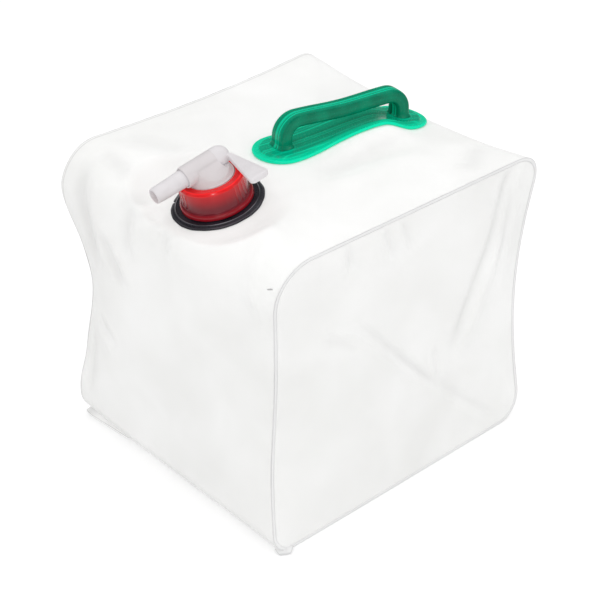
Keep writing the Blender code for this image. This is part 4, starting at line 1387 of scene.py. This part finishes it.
@dataclass
class Tap:
    """The milky tap: a domed body with its barrel, and the rotor that turns in it."""

    axis: Axis
    rise: float = 0.0322
    yaw: float = math.radians(-4)
    dome_radius: float = 0.0167
    dome_foot: float = 0.0235
    dome_rise: float = 0.0042
    rim_radius: float = 0.0212
    rim_top: float = 0.0209
    rim_base: float = 0.0189
    plug: float = 0.0176
    plug_wall: float = 0.0016
    plug_base: float = 0.0109
    barrel_radius: float = 0.0078
    barrel_bore: float = 0.0066
    barrel_front: float = 0.0205
    barrel_back: float = 0.0044
    flank: float = math.radians(57)
    flank_blend: float = 0.0045
    under_lever: float = 0.0036
    body_warmth: float = 0.32
    hub_radius: float = 0.0078
    hub_length: float = 0.0132
    hub_dome: float = 0.009
    rotor_radius: float = 0.0063
    bore_radius: float = 0.0045
    spout: float = 0.0247
    spout_tip: float = 0.0057
    port: float = 0.0032
    reach: float = 0.0454
    root_width: float = 0.0040
    neck: float = 0.008
    neck_width: float = 0.0042
    neck_shift: float = 0.0035
    tip_width: float = 0.0160
    tip_shift: float = 0.0005
    tip_corner: float = 0.0036
    lever_thickness: float = 0.0052
    lever_rise: float = math.radians(0.5)
    gap: float = 0.0003
    finest: float = 0.0012
    dome_steps: tuple[int, int] = (110, 280)
    lever_steps: tuple[int, int, int] = (48, 14, 64)
    rotor_steps: int = 140
    skirt_steps: int = 240
    tube_steps: int = 160

    @property
    def barrel(self) -> Axis:
        """The barrel's frame."""
        return self.axis.barrel(self.rise, self.yaw)

    def shoulders(self) -> Patch:
        """Dome and flanks: the higher of an elliptic dome and two planes that leave the barrel smoothly.

        The dome is rise * sqrt(1 - (r / R)^2). With b the barrel's radius and t the flank's angle, a
        flank stands (b - |across| sin t) / cos t over the barrel's middle and at most b cos t, and
        drops under the lever towards the hub. Room is left round the hub.
        """
        radius = self.dome_radius * np.sin(np.linspace(0, RIGHT_ANGLE, self.dome_steps[0]))[:, None]
        turn = circle(self.dome_steps[1])[None]
        x, y = radius * np.cos(turn), radius * np.sin(turn)
        dome = self.dome_foot + self.dome_rise * np.sqrt(np.maximum(1 - (radius / self.dome_radius) ** 2, 0))
        across = np.abs(x * math.cos(self.yaw) + y * math.sin(self.yaw))
        along = y * math.cos(self.yaw) - x * math.sin(self.yaw)
        round_radius = self.barrel_radius - 0.0001
        crest = round_radius * math.cos(self.flank)
        slope = (round_radius - across * math.sin(self.flank)) / math.cos(self.flank)
        drop = (crest + self.under_lever) * ease((along - self.barrel_back + 0.0014) / 0.0055)
        height = soft_max(dome + 0 * x, self.rise + np.minimum(slope, crest - drop), self.flank_blend)
        rim = ease((self.dome_radius - radius) / 0.0022)
        height = self.dome_foot + (height - self.dome_foot) * rim
        room = self.hub_radius + self.gap / 4
        inner = self.rise + np.sqrt(np.maximum(round_radius**2 - across**2, 0))
        hollow = (along > self.barrel_back) & (across < room) & (height < inner)
        under = self.rise - np.sqrt(np.maximum(room**2 - across**2, 0))
        height = np.where(hollow, np.minimum(height, under), height)
        points = np.stack([x, y, height], axis=-1)
        # painted shade: the tone deepens towards the dome's edge by the ring, as shade with painted red bounce light
        warm = np.clip(self.body_warmth + 0.3 * ease((radius - 0.6 * self.dome_radius) / 0.006) + 0 * x, 0, 1)
        return Patch(self.axis.world(points), loop_columns=True, masks={"warm": warm})

    def skirt(self) -> Patch:
        """From the dome's foot down over the clamping rim, the plug and its cavity to the middle."""
        corners = [
            (self.dome_radius, self.dome_foot, 0.0),
            (self.dome_radius, self.rim_top, 0.0),
            (self.rim_radius, self.rim_top, 0.0003),
            (self.rim_radius, self.rim_base, 0.0003),
            (self.plug, self.rim_base, 0.0002),
            (self.plug, self.plug_base, 0.0004),
            (self.plug - self.plug_wall, self.plug_base, 0.0003),
            (self.plug - self.plug_wall, self.rim_top - self.plug_wall, 0.0004),
            (0.0, self.rim_top - self.plug_wall, 0.0),
        ]
        profile = refine(rounded(corners, closed=False), self.finest, closed=False)
        return Patch(self.axis.world(revolve(profile, self.skirt_steps)), loop_columns=True)

    def along_barrel(self, profile: Array, steps: int) -> Array:
        """Turn (radius, forward) about the barrel: forward runs to -Y of the barrel's frame."""
        points = revolve(profile, steps)
        laid = np.stack([points[..., 0], -points[..., 2], points[..., 1]], axis=-1)
        return self.barrel.world(laid)

    def tube(self) -> Patch:
        """The barrel: a plain tube with soft edges."""
        front, back = self.barrel_front, -self.barrel_back
        corners = [
            (self.barrel_radius - 0.0002, front, 0.0009),
            (self.barrel_radius, front - 0.0030, 0.0010),
            (self.barrel_radius, back - 0.00026, 0.0),
            (self.barrel_bore, back - 0.00026, 0.0),
            (self.barrel_bore, front, 0.0005),
        ]
        profile = refine(rounded(corners), self.finest)
        points = self.along_barrel(profile, self.tube_steps)
        warm = np.full(points.shape[:2], self.body_warmth)
        return Patch(points, loop_rows=True, loop_columns=True, masks={"warm": warm})

    def body(self) -> None:
        """The fixed part of the tap."""
        piece = Piece.build("domed_tap_body", [self.shoulders(), self.skirt(), self.tube()])
        dress(piece, MILKY, Body.TAP, "tap_body")

    def lever(self) -> Patch:
        """The paddle lever: it leaves the hub's far end and widens to a round-cornered tip.

        Half width and sideways shift run straight from root to neck to tip. Section: superellipse
        |across|^n + |up|^n = 1 with n = 4. At the tip, half width and half thickness fall along
        quarter circles.
        """
        steps, tip_steps, sides = self.lever_steps
        body = np.linspace(0.0, self.reach - self.tip_corner, steps)
        arc = np.sin(np.linspace(0, RIGHT_ANGLE, tip_steps))[1:]
        out = np.concatenate([body, self.reach - self.tip_corner + self.tip_corner * arc])
        share = out / self.reach
        fall = np.concatenate([np.zeros(steps), 1 - np.sqrt(1 - arc**2)])
        places = (0.0, self.neck, self.reach)
        width = np.interp(out, places, (self.root_width, self.neck_width, self.tip_width))
        shift = np.interp(out, places, (0.0, self.neck_shift, self.tip_shift))
        half_width = width / 2 - self.tip_corner * fall
        half_up = self.lever_thickness / 2 * (1 - 0.06 * share) - 0.0013 * fall**2
        turn = circle(sides)
        side, up = squared(np.cos(turn), 0.5), squared(np.sin(turn), 0.5)
        dish = 0.00045 * bell(side, 0.55) * (up > 0.5)
        dish = dish * ease((share[:, None] - 0.35) / 0.2) * ease((1 - share[:, None]) / 0.12)
        along = out[:, None] + 0 * turn
        across = half_width[:, None] * side + shift[:, None]
        lift = half_up[:, None] * up - dish
        closing = np.tile([self.reach, self.tip_shift, 0.0], (sides, 1))
        points = np.concatenate([0 * closing[None], np.stack([along, across, lift], axis=-1), closing[None]])
        cosine, sine = math.cos(-self.lever_rise), math.sin(-self.lever_rise)
        x = points[..., 0] * cosine + points[..., 2] * sine
        z = points[..., 2] * cosine - points[..., 0] * sine
        y = points[..., 1] + self.barrel_back + self.gap + self.hub_length / 2
        return Patch(self.barrel.world(np.stack([x, y, z], axis=-1)), loop_columns=True)

    def spindle(self) -> Patch:
        """Tapered spout, plug and domed hub in one turned form with an open bore.

        The hub's end is a quarter ellipse: radius r cos a, reach d sin a.
        """
        tip = self.barrel_front + self.spout
        hub = -self.barrel_back - self.gap
        arc = np.linspace(RIGHT_ANGLE, 0, 20)[1:-1]
        dome = hub - self.hub_length + self.hub_dome - self.hub_dome * np.sin(arc)
        corners = [
            (0.0, hub - self.hub_length, 0.0),
            *[(radius, place, 0.0) for radius, place in zip(self.hub_radius * np.cos(arc), dome)],
            (self.hub_radius, hub, 0.0),
            (self.rotor_radius, hub, 0.0),
            (self.rotor_radius, self.barrel_front + 0.0006, 0.0),
            (self.spout_tip + 0.0001, tip - 0.0020, 0.0012),
            (self.spout_tip - 0.0002, tip, 0.0006),
            (self.bore_radius, tip, 0.0004),
            (self.bore_radius, -self.port, 0.0006),
            (0.0, -self.port, 0.0),
        ]
        profile = refine(rounded(corners, closed=False), self.finest, closed=False)
        forward, radius = profile[:, 1:], profile[:, :1]
        level = np.sin(circle(self.rotor_steps))[None]
        # painted shade: darker under the spout near its tip
        warm = ease((forward - tip + 0.020) / 0.020) * (0.35 - 0.45 * level)
        # painted light: the bore glows so that the spout's mouth shows no shade
        bore = (radius < self.bore_radius + 0.0006) * (forward > -self.port - 0.0001)
        masks = {"warm": np.clip(warm, 0, 1), "thin": np.repeat(bore * 1.0, self.rotor_steps, axis=1)}
        return Patch(self.along_barrel(profile, self.rotor_steps), loop_columns=True, masks=masks)

    def rotor(self) -> None:
        """The turning part of the tap."""
        piece = Piece.build("tap_spout_and_lever", [self.spindle(), self.lever()])
        dress(piece, MILKY, Body.ROTOR, "tap_rotor")


# The handle
@dataclass
class Handle:
    """The green plate welded to the film, and its arched grip."""

    form: BagForm
    length: float = 0.145
    end_width: float = 0.043
    waist_width: float = 0.037
    clearance: float = 0.0009
    thickness: float = 0.0018
    pad_inset: float = 0.0055
    pad_height: float = 0.0014
    boss_height: float = 0.0003
    boss_margin: float = 0.0028
    span: float = 0.102
    height: float = 0.0275
    bar_width: float = 0.013
    bar_thickness: float = 0.0105
    bar_sag: float = 0.0015
    leg_width: float = 0.015
    leg_thickness: float = 0.0105
    shoulder: float = 0.012
    bar_grooves: tuple[float, ...] = (-0.27, -0.09, 0.09, 0.27)
    sides: int = 120
    plate_steps: tuple[int, int] = (300, 72)
    path_steps: tuple[int, int, int] = (18, 26, 40)

    def place(self, across: Array, along: Array, lift: Array) -> Array:
        """World places of points of the plate, at a height over the top's crown."""
        form = self.form
        cosine, sine = math.cos(form.handle_yaw), math.sin(form.handle_yaw)
        x = form.handle_spot[0] + across * cosine - along * sine
        y = form.handle_spot[1] + across * sine + along * cosine
        return np.stack([x, y, form.top_height(x, y) + lift], axis=-1)

    def inset(self, along: Array, share: Array) -> tuple[Array, Array]:
        """The plate's outline: round ends, and a waist that follows a cosine between them.

        Args:
            along: Places along the plate.
            share: Shares of the way from its middle line to its sides there.

        Returns:
            The places across, and how far each lies inside the outline.
        """
        end = self.end_width / 2
        straight = self.length / 2 - end
        beyond = np.maximum(np.abs(along) - straight, 0)
        waist = 1 + np.cos(math.pi * np.clip(along / straight, -1, 1))
        narrow = end - (self.end_width - self.waist_width) / 4 * waist
        half = np.where(beyond > 0, np.sqrt(np.maximum(end**2 - beyond**2, 0)), narrow)
        across = half * share
        return across, np.where(beyond > 0, end - np.hypot(beyond, across), half - np.abs(across))

    def plate(self) -> None:
        """The plate: a thin border, a raised inner oval, a soft seat for each foot."""
        lengthwise, crosswise = (np.sin(np.linspace(-RIGHT_ANGLE, RIGHT_ANGLE, count)) for count in self.plate_steps)
        along = (self.length / 2 * lengthwise)[:, None]
        across, inside = self.inset(along, crosswise[None])
        edge = np.clip(inside / 0.0009, 0, 1)
        full = self.clearance + self.thickness
        lower = 0.00012
        middle = (full + lower) / 2
        top = middle + (full - middle) * np.sqrt(1 - (1 - edge) ** 2)
        top = top + self.pad_height * ease((inside - self.pad_inset + 0.0006) / 0.0012)
        top = top - 0.00035 * bell(inside - self.pad_inset + 0.0012, 0.0007)
        reach_x = self.leg_width / 2 + self.boss_margin
        reach_y = self.leg_thickness / 2 + self.boss_margin
        foot = np.hypot(across / reach_x, (np.abs(along) - self.span / 2) / reach_y)
        top = top + self.boss_height * ease((1.12 - foot) / 0.24)
        # rim: painted light, pale over the border, paler at the very edge, and a pale ring round each foot
        rim = 0.80 - 0.45 * ease((inside - self.pad_inset + 0.0012) / 0.0016)
        rim = rim + 0.28 * (1 - ease((inside - 0.0003) / 0.0012)) + 0.12 * bell(foot - 1.06, 0.10)
        masks = {"rim": np.clip(rim, 0, 1), "lane": across}
        bottom = middle - (middle - lower) * np.sqrt(1 - (1 - edge) ** 2)
        patches = [Patch(self.place(across, along + 0 * across, lift), masks=masks) for lift in (top, bottom)]
        dress(Piece.build("green_base_plate", patches), GREEN, Body.TOP, "handle_plate")

    def grip_axis(self) -> Axis:
        """The grip's frame: midway between its feet, pitched to stand on both."""
        feet = self.place(np.zeros(2), np.array([-self.span / 2, self.span / 2]), np.full(2, self.clearance))
        pitch = math.atan2(feet[1, 2] - feet[0, 2], self.span)
        turn = Euler((pitch, 0.0, self.form.handle_yaw)).to_matrix().to_4x4()
        return Axis(Matrix.Translation(Vector(feet.mean(axis=0))) @ turn)

    def path(self) -> Array:
        """The grip's line: up a leg, round a quarter circle, along the sagging bar, and down.

        Returns:
            Rows of (along, height, direction, share of the way from leg to bar).
        """
        half = self.span / 2
        level = self.height - self.bar_thickness / 2
        turn_at = level - self.shoulder
        foot = self.thickness + self.pad_height + self.boss_height + 0.0001
        leg_steps, shoulder_steps, bar_steps = self.path_steps
        rise = np.linspace(foot, turn_at, leg_steps, endpoint=False)
        leg = np.stack(np.broadcast_arrays(-half, rise, RIGHT_ANGLE, 0.0), axis=-1)
        angle = np.linspace(0, RIGHT_ANGLE, shoulder_steps)
        along = -half + self.shoulder * (1 - np.cos(angle))
        height = turn_at + self.shoulder * np.sin(angle)
        shoulder = np.stack([along, height, RIGHT_ANGLE - angle, angle / RIGHT_ANGLE], axis=-1)
        bar_end = half - self.shoulder
        run = np.linspace(-bar_end, 0, bar_steps)[1:]
        sag = self.bar_sag * ease(1 - np.abs(run) / bar_end)
        bar = np.stack(np.broadcast_arrays(run, level - sag, 0.0, 1.0), axis=-1)
        first = np.concatenate([leg, shoulder, bar])
        second = first[-2::-1] * np.array([-1.0, 1.0, -1.0, 1.0])
        return np.concatenate([first, second])

    def grip(self) -> None:
        """The grip: a rounded section, grooved along its outer face, carried along the path."""
        path = self.path()
        along, height, heading, share = (path[:, index][:, None] for index in range(4))
        width = self.leg_width + (self.bar_width - self.leg_width) * share
        depth = self.leg_thickness + (self.bar_thickness - self.leg_thickness) * share
        flare = 0.0012 * bell(height - self.thickness - self.pad_height - self.boss_height, 0.0016) * (share < 0.01)
        turn = circle(self.sides)[None]
        wide, deep = squared(np.cos(turn), 0.4) / 2, squared(np.sin(turn), 0.4) / 2
        groove = sum(bell(wide - spot, 0.03) for spot in self.bar_grooves)
        deep = deep - 0.022 * groove * ease((deep - 0.2) / 0.15)
        parting = bell(deep, 0.05) * ease((np.abs(wide) - 0.4) / 0.08)
        wide = wide * (1 + 0.015 * parting)
        across = wide * (width + 2 * flare)
        out = deep * (depth + 2 * flare)
        points = np.stack([across, along - out * np.sin(heading), height + out * np.cos(heading)], axis=-1)
        caps = [np.repeat(end.mean(axis=1, keepdims=True), self.sides, axis=1) for end in (points[:1], points[-1:])]
        points = np.concatenate([caps[0], points, caps[1]])
        lane = np.where(np.abs(wide) > 0.44, deep * self.bar_thickness * 0.22 + 0.02, wide * self.bar_width)
        # rim: painted sheen along the grip's top, brightest down its middle, and a little along the parting line
        rim = 0.06 * parting + (0.14 + 0.24 * bell(wide, 0.07)) * ease((deep - 0.40) / 0.08)
        masks = {
            "lane": np.repeat(lane, len(points), axis=0),
            "rim": np.repeat(rim, len(points), axis=0),
        }
        patch = Patch(self.grip_axis().world(points), loop_columns=True, masks=masks)
        dress(Piece.build("green_grip", [patch]), GREEN, Body.TOP, "handle_grip")


# The studio
@dataclass
class Studio:
    """Floor, light and camera."""

    place: Triple = (0.7737, -0.7011, 0.7724)
    azimuth: float = math.radians(47.836)
    elevation: float = math.radians(32.572)
    lens: float = 97.94
    aim: Triple = (0.0, 0.0, 0.13)
    floor: float = 0.73
    floor_radius: float = 8.0
    glow: float = 0.35
    sky: float = 0.86
    mirror: float = 0.12

    def seen(self, tree: Tree) -> Socket:
        """One where the ray comes from the eye or through a clear surface."""
        path = add_node(tree, "LightPath", {})
        rays = {0: path["Is Camera Ray"], 1: path["Is Transmission Ray"]}
        return add_node(tree, "Math", rays, operation="MAXIMUM")[0]

    def build_floor(self) -> None:
        """A wide pale floor that stays white where light falls and keeps the shadow."""
        mesh = bpy.data.meshes.new("floor")
        bm = bmesh.new()
        bmesh.ops.create_circle(bm, cap_ends=True, segments=96, radius=self.floor_radius)
        bm.to_mesh(mesh)
        bm.free()
        obj = add_object("floor", mesh)
        material = bpy.data.materials.new("pale_floor")
        material.use_nodes = True
        tree = material.node_tree
        strength = add_node(tree, "Math", {0: self.seen(tree), 1: self.glow}, operation="MULTIPLY")[0]
        inputs = {
            "Base Color": (self.floor, self.floor, self.floor, 1.0),
            "Roughness": 0.9,
            "Specular IOR Level": 0.1,
            "Emission Color": WHITE,
            "Emission Strength": strength,
        }
        wire(tree, tree.nodes["Principled BSDF"], inputs)
        obj.data.materials.append(material)

    def build_world(self) -> None:
        """White to the eye, softer as light, dim in mirrors."""
        world = bpy.data.worlds.new("studio")
        bpy.context.scene.world = world
        world.use_nodes = True
        tree = world.node_tree
        tree.nodes.clear()
        glossy = add_node(tree, "LightPath", {})["Is Glossy Ray"]
        light = scaled(tree, glossy, (0.0, 1.0), (self.sky, self.mirror))
        strength = add_node(tree, "MapRange", {"Value": self.seen(tree), "To Min": light, "To Max": 1.0})
        back = add_node(tree, "Background", {"Color": WHITE, "Strength": strength["Result"]})
        add_node(tree, "OutputWorld", {"Surface": back[0]})

    def lamp(self, name: str, place: Triple, size: float, power: float) -> None:
        """A square soft lamp that looks at the object."""
        data = bpy.data.lights.new(name, "AREA")
        data.size = size
        data.energy = power
        obj = add_object(name, data)
        obj.location = place
        way = Vector(self.aim) - Vector(place)
        obj.rotation_euler = way.to_track_quat("-Z", "Y").to_euler()

    def build_camera(self) -> None:
        """The camera at the photograph's angle."""
        data = bpy.data.cameras.new("camera")
        data.lens = self.lens
        data.sensor_width = 36.0
        obj = add_object("camera", data)
        obj.location = self.place
        obj.rotation_euler = (RIGHT_ANGLE - self.elevation, 0.0, self.azimuth)
        bpy.context.scene.camera = obj

    def build(self) -> None:
        """Set up everything round the object."""
        bpy.context.scene.view_settings.view_transform = "Standard"
        self.build_floor()
        self.build_world()
        self.lamp("key", (-0.2, 0.4, 1.9), 1.6, 4.2)
        self.lamp("fill", (1.5, -1.25, 0.9), 1.2, 5.8)
        self.lamp("edge_glint", (0.40, -0.80, 1.45), 0.10, 1.2)
        self.lamp("left_glint", (-1.5, -1.2, 0.8), 0.25, 0.35)
        self.lamp("right_glint", (1.5, 0.7, 0.9), 0.25, 0.9)
        self.build_camera()


def main() -> None:
    """Build the carrier and its studio."""
    logging.basicConfig(level=logging.INFO, format="%(message)s")
    for leftover in list(bpy.data.objects):
        bpy.data.objects.remove(leftover)
    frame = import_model()
    form = BagForm()
    FilmShell(form).build()
    for side in Side:
        FinSeam(form, side).build()
    for tab in TABS:
        tab.build()
    axis = Axis.spigot(form)
    NeckFlange(axis).build()
    ScrewRing(axis).build()
    tap = Tap(axis)
    tap.body()
    tap.rotor()
    handle = Handle(form)
    handle.plate()
    handle.grip()
    washer = frame["nodes"]["gasket"]
    washer.data.materials.clear()
    washer.data.materials.append(FOAM.material())
    Studio().build()


if __name__ == "__main__":
    main()
